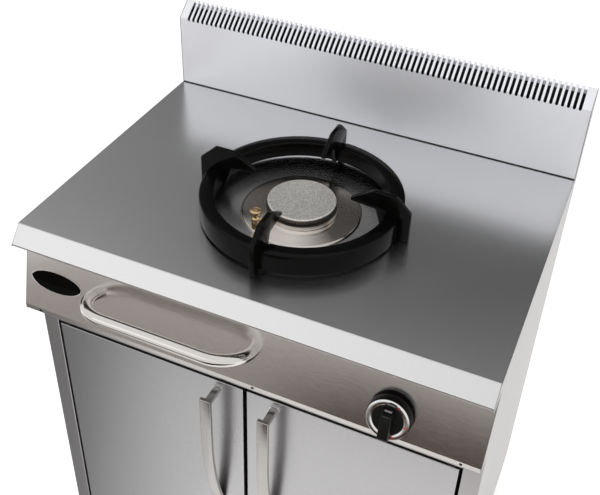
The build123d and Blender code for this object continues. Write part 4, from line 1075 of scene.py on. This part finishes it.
FIN_THICKNESS = 8.0
FIN_PLAY = 0.2
saddle = ring_top - RECESS_DEPTH + FIN_PLAY
fin_outline = [
    (170.2, 0.2),
    (188.0, 0.2),
    (188.0, 54.5),
    (186.6, 57.2),
    (161.6, 80.9),
    (159.0, 82.0),
    (125.0, 82.0),
    (122.6, 81.2),
    (87.6, 59.2),
    (86.1, 57.3),
    (86.0, 53.8),
    (87.0, 52.9),
    (128.0, 49.0),
    (129.6, 47.6),
    (139.4, INNER_FOOT + 1.6),
    (141.2, INNER_FOOT),
    (145.8, INNER_FOOT),
    (145.8, saddle),
    (170.2, saddle),
]
fins = outlined("wok_ring_fins_dressed", fin_outline, FIN_THICKNESS, EAST, UP, NORTH, BURNER)
soften(fins, 0.0014, 3, 50)
first_fin = fins.data.copy()
for quarter in range(1, 4):
    fin = bpy.data.objects.new("fin", first_fin.copy())
    bpy.context.collection.objects.link(fin)
    fin.matrix_world = (
        Matrix.Translation(BURNER)
        @ Matrix.Rotation(quarter * math.pi / 2, 4, "Z")
        @ Matrix.Translation(-BURNER)
    )
    choose(fins)
    fin.select_set(True)
    bpy.ops.object.join()
shade(fins)
dress(fins, black_enamel, "wok_ring_fins", body="wok_ring")
print("fins reach", [tuple(round(c, 4) for c in corner) for corner in fins.bound_box][6])

# %% [markdown]
# ## The knob
# The knob is turned, slightly conical, with a rounded front edge. A grip bar runs from inside the scale
# down to the knob's rim; it's a box whose top is drawn in, most at its lower end. A groove in the face
# holds the bright scale ring, which the grip bar breaks at its foot.

# %% Knob and scale ring
KNOB_HEIGHT = 0.0149
KNOB_BACK = KNOB - PANEL_OUT * KNOB_HEIGHT
GRIP_SIZE = (0.0175, 0.0525, 0.0174)
GAP_SIZE = (0.0177, 0.0555, 0.02)


def on_knob(piece, name, out, down):
    """Turns a lying piece to face out of the knob and moves it out from its back and down."""
    middle = KNOB_BACK + PANEL_OUT * out - PANEL_UP * down
    turn = Matrix.Rotation(KNOB_TURN, 4, "X")
    piece.matrix_world = Matrix.Translation(middle) @ turn @ piece.matrix_world
    return close_piece(piece, name)


knob = turned(
    "knob_dressed",
    KNOB_BACK,
    [
        (8.0, 12.0),
        (8.0, 0.2),
        (31.0, 0.2),
        (31.0, 0.0),
        (34.4, 0.0),
        (35.0, 0.5),
        (34.1, 13.3),
        (33.6, 14.1),
        (33.2, 14.5),
        (33.15, 13.5),
        (24.4, 13.5),
        (24.4, 14.5),
        (0.0, 14.5),
        (0.0, 12.0),
        (8.0, 12.0),
    ],
    steps=160,
    axis=PANEL_OUT,
    closed=True,
)
deselect()
bpy.ops.mesh.primitive_cube_add(size=1, location=(0, 0, 0), scale=GRIP_SIZE)
grip = bpy.context.object
open_piece(grip)
pick(grip, lambda face: face.normal.z > 0.9)
bpy.ops.transform.resize(value=(0.94, 0.81, 1))
bpy.ops.transform.translate(value=(0, 0.00105, 0))
bpy.ops.object.mode_set(mode="OBJECT")
on_knob(grip, "grip", 0.0208, 0.00675)
soften(grip, 0.0020, 4, 60)
join_or_cut(knob, grip, "UNION")
shade(knob)
dress(knob, knob_black, "knob", body="knob")

scale = turned(
    "knob_scale_dressed",
    KNOB_BACK,
    [
        (24.5, 13.6),
        (24.5, 14.7),
        (24.8, 14.9),
        (32.6, 14.9),
        (33.0, 14.7),
        (33.0, 13.6),
        (24.5, 13.6),
    ],
    steps=160,
    axis=PANEL_OUT,
    closed=True,
)
deselect()
bpy.ops.mesh.primitive_cube_add(size=1, location=(0, 0, 0), scale=GAP_SIZE)
join_or_cut(scale, on_knob(bpy.context.object, "gap", 0.015, 0.00825), "DIFFERENCE")
shade(scale)
dress(scale, scale_bright, "knob_scale_ring", body="knob")
print("knob faces:", len(knob.data.polygons), "scale faces:", len(scale.data.polygons))

# %% [markdown]
# ## The badge plate
# A thin bare oval with a raised rim, glossy black inside. It starts as a circle, is stretched to an
# oval, thickened, inset and pressed in.

# %% Badge plate
badge_low, badge_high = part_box("badge_plate")
badge_middle = (badge_low + badge_high) / 2
badge_half_width = (badge_high.x - badge_low.x) / 2
badge_half_height = 0.0195


def oval_plate(name, half_width, half_height, gauge, rim, sink):
    """An oval plate lying at the origin, its face up, with a rim round a pressed-in middle."""
    deselect()
    bpy.ops.mesh.primitive_circle_add(vertices=128, radius=1, fill_type="NGON")
    oval = bpy.context.object
    bpy.ops.object.mode_set(mode="EDIT")
    bpy.ops.mesh.select_all(action="SELECT")
    bpy.ops.transform.resize(value=(half_width, half_height, 1), center_override=(0, 0, 0))
    bpy.ops.transform.translate(value=(0, 0, -gauge / 2))
    bpy.ops.mesh.extrude_region_move(TRANSFORM_OT_translate={"value": (0, 0, gauge)})
    face_out()
    pick(oval, lambda face: face.normal.z > 0.9)
    bpy.ops.mesh.inset(thickness=rim)
    bpy.ops.mesh.inset(thickness=sink)
    bpy.ops.transform.translate(value=(0, 0, -sink))
    return oval


def set_on(piece, name, middle, tilt, edge):
    """Turns a lying piece to face out of its sheet, moves it there and softens it."""
    bpy.ops.object.mode_set(mode="OBJECT")
    piece.matrix_world = Matrix.Translation(middle) @ Matrix.Rotation(tilt, 4, "X")
    close_piece(piece, name)
    soften(piece, edge, 2, 40)
    return piece


badge = oval_plate("badge", badge_half_width, badge_half_height, 0.001, 0.0012, 0.0004)
set_on(badge, "badge_plate_dressed", badge_middle, KNOB_TURN, 0.0002)
dress(badge, badge_black, "badge_plate")
open_piece(badge)
badge.data.materials.append(rail_bright)
badge.active_material_index = 1


def is_rim(face):
    """A small face near the oval's edge; the flat back and the pressed-in middle have many corners."""
    away = face.calc_center_median() - badge_middle
    across = away.x / badge_half_width
    above = away.dot(PANEL_UP) / badge_half_height
    return across * across + above * above > 0.90 and len(face.verts) < 9


rim_faces = pick(badge, is_rim)
bpy.ops.object.material_slot_assign()
bpy.ops.object.mode_set(mode="OBJECT")
print("badge rim faces:", rim_faces)

# %% [markdown]
# ## The hand rail
# A polished tube, bent back to the panel at both ends. A circle is extruded out of the panel, spun
# round each bend, extruded along, and spun back in. Spinning keeps the tube perfectly round in the
# bends, where a swept path would need care.

# %% Hand rail
def start_ring(centre, normal, radius, steps):
    """A ring of vertices in edit mode, ready to be extruded."""
    deselect()
    bpy.ops.mesh.primitive_circle_add(vertices=steps, radius=radius, fill_type="NGON")
    ring = bpy.context.object
    ring.matrix_world = standing(centre, normal)
    bpy.ops.object.transform_apply(location=True, rotation=True, scale=True)
    bpy.ops.object.mode_set(mode="EDIT")
    bpy.ops.mesh.select_mode(type="FACE")
    bpy.ops.mesh.select_all(action="SELECT")
    return ring


def push(way):
    """Extrudes the picked end face along a way."""
    bpy.ops.mesh.extrude_region_move(TRANSFORM_OT_translate={"value": way})


def bend_round(centre, axis, degrees, steps):
    """Extrudes the picked end face round a bend, a small turn at a time."""
    for _ in range(steps):
        bpy.ops.mesh.extrude_region_move(TRANSFORM_OT_translate={"value": (0, 0, 0)})
        turn = Matrix.Rotation(math.radians(degrees / steps), 4, axis)
        mesh = bmesh.from_edit_mesh(bpy.context.edit_object.data)
        bmesh.ops.transform(
            mesh,
            matrix=Matrix.Translation(centre) @ turn @ Matrix.Translation(-centre),
            verts=[vert for vert in mesh.verts if vert.select],
        )
        bmesh.update_edit_mesh(bpy.context.edit_object.data)


rail_low, rail_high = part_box("hand_rail")
RAIL = 0.010
RAIL_BEND = 0.056
rail_left = rail_low.x + RAIL
rail_right = rail_high.x - RAIL
rail_corners = [Vector(corner.co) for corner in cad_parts["hand_rail"].data.vertices]
rail_out = [corner.dot(PANEL_OUT) for corner in rail_corners]
rail_up = [corner.dot(PANEL_UP) for corner in rail_corners]
rail_foot = min(rail_out)
rail_level = (min(rail_up) + max(rail_up)) / 2
RAIL_REACH = max(rail_out) - rail_foot - RAIL


def rail_place(x, out):
    """A place on the rail's middle line, so far out from the panel."""
    return Vector((x, 0, 0)) + PANEL_UP * rail_level + PANEL_OUT * (rail_foot + out)


rail = start_ring(rail_place(rail_left, 0), PANEL_OUT, RAIL, 64)
push(PANEL_OUT * (RAIL_REACH - RAIL_BEND))
bend_round(rail_place(rail_left + RAIL_BEND, RAIL_REACH - RAIL_BEND), PANEL_UP, 90, 24)
push(EAST * (rail_right - rail_left - 2 * RAIL_BEND))
bend_round(rail_place(rail_right - RAIL_BEND, RAIL_REACH - RAIL_BEND), PANEL_UP, 90, 24)
push(PANEL_OUT * -(RAIL_REACH - RAIL_BEND))
face_out()
close_piece(rail, "hand_rail_dressed")
shade(rail)
dress(rail, rail_bright, "hand_rail")
print("rail from", round(rail_left, 4), "to", round(rail_right, 4), "reach", round(RAIL_REACH, 4))

# %% [markdown]
# ## The door handles
# A flat bar, straight above and bowed back to the door below, with one leg at its top that ends on a
# bright oval disc. The bar is extruded down and round its bow a little past the door's face, and a
# bisect cuts it off there, so that it ends flat on the door. The left one is modelled, and the right
# one is a copy moved across.

# %% Door handles
face_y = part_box("left_door_skin")[0].y
handle_low, handle_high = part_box("left_door_handle")
HANDLE_GAUGE, HANDLE_WIDTH = 0.007, 0.020
HANDLE_STRAIGHT = 0.1
BOW_RADIUS = 0.640
BOW_BACK = 0.049
handle_x = handle_low.x + HANDLE_WIDTH / 2
bar_y = handle_low.y + HANDLE_GAUGE / 2
SUNK = 0.0002


def bowed_bar(name):
    """A flat bar from the handle's top down: straight at first, then bowed back to the door."""
    deselect()
    bpy.ops.mesh.primitive_plane_add(size=1, location=(handle_x, bar_y, handle_high.z))
    bar = bpy.context.object
    bar.scale = (HANDLE_WIDTH, HANDLE_GAUGE, 1)
    bpy.ops.object.transform_apply(location=True, rotation=True, scale=True)
    bpy.ops.object.mode_set(mode="EDIT")
    bpy.ops.mesh.select_all(action="SELECT")
    push(UP * -HANDLE_STRAIGHT)
    bow_middle = Vector((handle_x, handle_low.y + BOW_RADIUS, handle_high.z - HANDLE_STRAIGHT))
    bow_degrees = math.degrees(math.acos(1 - BOW_BACK / (BOW_RADIUS - HANDLE_GAUGE)))
    bend_round(bow_middle, EAST, bow_degrees, 28)
    face_out()
    bpy.ops.mesh.bisect(
        plane_co=(0, face_y - SUNK, 0), plane_no=(0, 1, 0), clear_outer=True, use_fill=True
    )
    face_out()
    return close_piece(bar, name)


handle = bowed_bar("left_door_handle_dressed")
soften(handle, 0.0013, 3, 40)
rosette_low, rosette_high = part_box("left_handle_rosette")
rosette_middle = (rosette_low + rosette_high) / 2
leg_back = rosette_low.y - SUNK
leg = box_piece(
    "leg",
    Vector((rosette_middle.x, (leg_back + bar_y) / 2, rosette_middle.z)),
    (0.012, leg_back - bar_y, 0.010),
)
soften(leg, 0.0012, 3, 40)
join_or_cut(handle, leg, "UNION")
shade(handle)
dress(handle, handle_nickel, "left_door_handle", body="left_door")


def copied(piece, name, way, node, body):
    """A copy of a finished piece, with its own mesh, moved across."""
    twin = bpy.data.objects.new(name, piece.data.copy())
    bpy.context.collection.objects.link(twin)
    twin.location = way
    choose(twin)
    close_piece(twin, name)
    return dress(twin, piece.data.materials[0], node, body=body)


across = EAST * (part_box("right_door_handle")[0].x - handle_low.x)
copied(handle, "right_door_handle_dressed", across, "right_door_handle", "right_door")

rosette = oval_plate("rosette", 0.009, 0.006, rosette_high.y - rosette_low.y, 0.0012, 0.0003)
set_on(rosette, "left_handle_rosette_dressed", rosette_middle, math.pi / 2, 0.0006)
dress(rosette, rosette_bright, "left_handle_rosette", body="left_door")
copied(rosette, "right_handle_rosette_dressed", across, "right_handle_rosette", "right_door")
print("handles at x", round(handle_x, 4), round(handle_x + across.x, 4))

# %% [markdown]
# ## Inlet fitting and feet
# The inlet's thread is a row of fine rings on a turned bar behind a hexagon. Each foot is a round pad
# with a rounded edge, a hexagon to turn it by, and a threaded stem. A thread's real helix is finer than
# the eye can follow, so close rings in the turned outline stand for it.

# %% Inlet fitting
def threaded(radius, first, last, pitch, depth):
    """An outline's points for a thread, drawn as close rings."""
    points = []
    root = radius - depth
    height = first
    while height + pitch <= last:
        points += [(root, height), (radius, height + pitch * 0.4), (radius, height + pitch * 0.6)]
        height += pitch
    return points + [(root, last)]


def hexagon(name, centre, axis, radius, height, edge):
    """A six-sided nut without a hole, standing on a centre along an axis."""
    deselect()
    bpy.ops.mesh.primitive_circle_add(vertices=6, radius=radius, fill_type="NGON")
    nut = bpy.context.object
    bpy.ops.object.mode_set(mode="EDIT")
    bpy.ops.mesh.select_all(action="SELECT")
    push(UP * height)
    face_out()
    bpy.ops.object.mode_set(mode="OBJECT")
    nut.matrix_world = standing(centre, axis)
    close_piece(nut, name)
    soften(nut, edge, 2, 40)
    return nut


inlet_low, inlet_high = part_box("gas_inlet_fitting")
inlet_middle = (inlet_low + inlet_high) / 2
inlet_back = Vector((inlet_middle.x, inlet_high.y, inlet_middle.z))
inlet_length = (inlet_high.y - inlet_low.y) / MM
THREAD_RADIUS = 10.48
MOUTH_DEPTH = 10.1
inlet = turned(
    "gas_inlet_dressed",
    inlet_back,
    [
        (6.0, 0.0),
        (9.4, 0.0),
        (9.6, 0.4),
        *threaded(THREAD_RADIUS, 0.6, 20.4, 1.8, 0.9),
        (10.0, 21.0),
        (THREAD_RADIUS, 21.4),
        (THREAD_RADIUS, inlet_length),
        (8.1, inlet_length),
        (8.1, inlet_length - MOUTH_DEPTH),
        (6.0, inlet_length - MOUTH_DEPTH),
        (6.0, 0.0),
    ],
    steps=64,
    axis=-NORTH,
    closed=True,
)
collar = hexagon("collar", inlet_back - NORTH * 0.026, NORTH, 0.016, 0.005, 0.0005)
hole = cylinder("hole", inlet_back - NORTH * 0.03, inlet_back - NORTH * 0.02, 0.0100)
join_or_cut(collar, hole, "DIFFERENCE")
join_or_cut(inlet, collar, "UNION")
shade(inlet)
dress(inlet, brass, "gas_inlet_fitting")
print("inlet length", round(inlet_length, 2), "mm")

# %% Feet
PAD_HEIGHT = 12.0
STEM_RADIUS = 5.0
feet = {}
for corner in ("front_left", "front_right", "rear_left", "rear_right"):
    node = f"foot_{corner}"
    low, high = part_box(node)
    place = Vector(((low.x + high.x) / 2, (low.y + high.y) / 2, 0))
    if not feet:
        stem_top = high.z / MM
        foot = turned(
            f"{node}_dressed",
            place,
            [
                (0.0, 0.0),
                (18.0, 0.0),
                (19.4, 0.6),
                (20.0, 2.0),
                (20.0, 9.6),
                (19.4, PAD_HEIGHT - 0.8),
                (17.6, PAD_HEIGHT),
                (STEM_RADIUS, PAD_HEIGHT),
                *threaded(STEM_RADIUS, PAD_HEIGHT + 6.0, stem_top - 1.0, 1.6, 0.6),
                (4.2, stem_top),
                (0.0, stem_top),
            ],
            steps=64,
        )
        nut_foot = place + UP * ((PAD_HEIGHT - 0.1) * MM)
        nut = hexagon("nut", nut_foot, UP, 0.0095, 0.0061, 0.0006)
        join_or_cut(foot, nut, "UNION")
        shade(foot)
        first_place = place
        dress(foot, foot_black, node, body=node)
        foot.data.materials.append(screw_steel)
        open_piece(foot)
        foot.active_material_index = 1
        pick(foot, lambda face: face.calc_center_median().z > (PAD_HEIGHT + 0.2) * MM)
        bpy.ops.object.material_slot_assign()
        bpy.ops.object.mode_set(mode="OBJECT")
        feet[corner] = foot
    else:
        feet[corner] = copied(
            feet["front_left"], f"{node}_dressed", place - first_place, node, node
        )
        feet[corner].data.materials.append(screw_steel)
print("feet:", sorted(feet))

# %% [markdown]
# ## Stage, light and camera
# The ground is white and keeps only the object's shadow. Broad lamps hang in front, at the left and
# at the right; they light the matt pieces, but no steel mirrors them. What the steel mirrors instead
# are four cards that the camera itself doesn't see, like the bright and dark sides of a room. A
# bright one in front lights the splashback and the nose. Three dim ones shade the rest: one behind
# darkens the worktop, one on the ground in front browns the panel's right half, and one beside it
# shades the left door.

# %% Stage
def stage_finish(name, colour, glow):
    """A matt finish that glows a little, so that the ground stays white in the shade."""
    finish = Finish(name, Metallic=0.0, Specular_IOR_Level=0.0)
    cloud = finish.noise(finish.coords(), 3.0, 2.0, 0.5)
    finish.set(
        Base_Color=finish.blend(cloud, colour, tuple(c * 0.98 for c in colour[:3]) + (1.0,)),
        Roughness=cloud * 0.1 + 0.85,
    )
    finish.shader.inputs["Emission Color"].default_value = (1, 1, 1, 1)
    finish.shader.inputs["Emission Strength"].default_value = glow
    return finish.material


deselect()
bpy.ops.mesh.primitive_plane_add(size=16, location=(0, 0, -0.0006))
ground = bpy.context.object
bpy.ops.object.mode_set(mode="EDIT")
bpy.ops.mesh.subdivide(number_cuts=3)
close_piece(ground, "ground")
ground.data.materials.append(stage_finish("ground_white", (0.9, 0.9, 0.9, 1.0), 0.55))


def card(name, place, size, tilt, glow_of):
    """A glowing card that only polished surfaces see; glow_of(finish, x, y, z) is its colour."""
    deselect()
    bpy.ops.mesh.primitive_plane_add(size=1, location=place, rotation=(tilt, 0, 0))
    sheet = bpy.context.object
    sheet.scale = (size[0], size[1], 1)
    bpy.ops.object.mode_set(mode="EDIT")
    bpy.ops.mesh.subdivide(number_cuts=2)
    close_piece(sheet, name)
    finish = Finish(f"{name}_glow", Metallic=0.0, Specular_IOR_Level=0.0, Base_Color=(0, 0, 0, 1))
    spot = finish.coords()
    finish.set(Emission_Color=glow_of(finish, *(finish.axis(spot, letter) for letter in "XYZ")))
    finish.shader.inputs["Emission Strength"].default_value = 1.0
    sheet.data.materials.append(finish.material)
    sheet.visible_camera = False
    sheet.visible_diffuse = False
    sheet.visible_shadow = False
    sheet.visible_transmission = False


def grey(value):
    return (value, value, value, 1.0)


def rise(finish, value, start, end):
    """Nought at the start, one at the end, and even in between."""
    return finish.ramp((value - start) / (end - start), [(0.0, grey(0.0)), (1.0, grey(1.0))])


def front_glow(finish, x, y, z):
    """Bright, and a little less so towards the right."""
    return finish.ramp((x + 2.4) / 2.7, [(0.0, grey(1.42)), (0.6, grey(1.30)), (1.0, grey(1.12))])


def panel_glow(finish, x, y, z):
    """Grey at the left and brown at the right, where the panel's right half mirrors it."""
    brown = rise(finish, x, -0.6, -0.2) * rise(finish, y, -2.65, -2.25)
    return finish.blend(brown, (0.40, 0.37, 0.35, 1.0), (0.046, 0.016, 0.010, 1.0))


def side_glow(finish, x, y, z):
    """A slanted step from dark to bright, for the left door."""
    steps = ((0.0, 0.22), (0.25, 0.33), (0.45, 0.54), (0.7, 0.74), (1.0, 1.0))
    return finish.ramp(
        (x - y * 0.6 + 0.36) / 0.36, [(place, grey(glow)) for place, glow in steps]
    )


def sky_glow(finish, x, y, z):
    """Dim at the left, darker at the right, and darkest low down there."""
    wide = finish.ramp((x + 2.4) / 1.3, [(0.0, grey(0.32)), (0.6, grey(0.26)), (0.95, grey(0.16))])
    deep = rise(finish, x, -0.9, -0.2) * rise(finish, z, 3.2, 2.7)
    return wide * (1.0 - deep * 0.5)


card("front_card", (-1.1, -2.7, 2.4), (4.4, 1.5), math.pi / 2, front_glow)
card("panel_card", (-0.2, -1.95, 0.02), (3.6, 2.1), 0.0, panel_glow)
card("side_card", (-0.9, -0.65, 0.02), (1.4, 0.8), 0.0, side_glow)
card("sky_card", (-1.1, 2.2, 2.75), (4.6, 2.9), math.pi / 2, sky_glow)

print("stage set")

# %% [markdown]
# The room round it all is white to the camera and to the steel, and a softer light to what is matt,
# so that shadows keep some depth. A light path tells the three apart.

# %% Room
world = bpy.data.worlds.new("studio")
bpy.context.scene.world = world
world.use_nodes = True
nodes, links = world.node_tree.nodes, world.node_tree.links
nodes.clear()


def room_light(strength, colour):
    """A background of one colour."""
    light = nodes.new("ShaderNodeBackground")
    light.inputs["Strength"].default_value = strength
    light.inputs["Color"].default_value = colour
    return light.outputs[0]


def either(first, second):
    """One where either of two sockets is one."""
    greater = nodes.new("ShaderNodeMath")
    greater.operation = "MAXIMUM"
    links.new(first, greater.inputs[0])
    links.new(second, greater.inputs[1])
    return greater.outputs[0]


path = nodes.new("ShaderNodeLightPath").outputs
seen = either(either(path["Is Camera Ray"], path["Is Glossy Ray"]), path["Is Transmission Ray"])
mix = nodes.new("ShaderNodeMixShader")
links.new(seen, mix.inputs[0])
links.new(room_light(0.55, (1.0, 0.99, 0.97, 1)), mix.inputs[1])
links.new(room_light(1.0, (1, 1, 1, 1)), mix.inputs[2])
output = nodes.new("ShaderNodeOutputWorld")
links.new(mix.outputs[0], output.inputs[0])
print("room lit")

# %% Lamps
def area_lamp(name, place, target, size, watts, colour=(1, 1, 1)):
    """A broad lamp that looks at a target and that steel doesn't mirror."""
    lamp = bpy.data.lights.new(name, "AREA")
    lamp.shape = "RECTANGLE"
    lamp.size, lamp.size_y = size
    lamp.energy = watts
    lamp.color = colour
    holder = bpy.data.objects.new(name, lamp)
    bpy.context.collection.objects.link(holder)
    holder.location = place
    holder.rotation_euler = (Vector(target) - Vector(place)).to_track_quat("-Z", "Y").to_euler()
    holder.visible_glossy = False


area_lamp("front_lamp", (0.4, -2.6, 3.0), (0, 0, 0.7), (2.0, 1.4), 26, (1.0, 0.98, 0.95))
area_lamp("left_lamp", (-2.6, -0.6, 2.2), (0, 0, 0.6), (1.4, 1.4), 12, (0.95, 0.98, 1.0))
area_lamp("right_lamp", (2.8, -0.4, 1.8), (0.2, 0, 0.5), (1.2, 1.8), 7)

# %% [markdown]
# The camera stands in front at the right, a good metre and a half up. Its place, turn and lens were
# solved from the corners of the worktop, the panel and the doors.

# %% Camera
lens = bpy.data.cameras.new("camera")
lens.lens = 54.086
lens.sensor_width = 36
lens.sensor_fit = "HORIZONTAL"
lens.shift_y = -0.0875
camera = bpy.data.objects.new("camera", lens)
bpy.context.collection.objects.link(camera)
camera.location = (0.46877669, -1.13792785, 1.75867426)
camera.rotation_euler = (0.94204198, -0.02720197, 0.42208978)
bpy.context.scene.camera = camera
bpy.context.scene.view_settings.view_transform = "Standard"
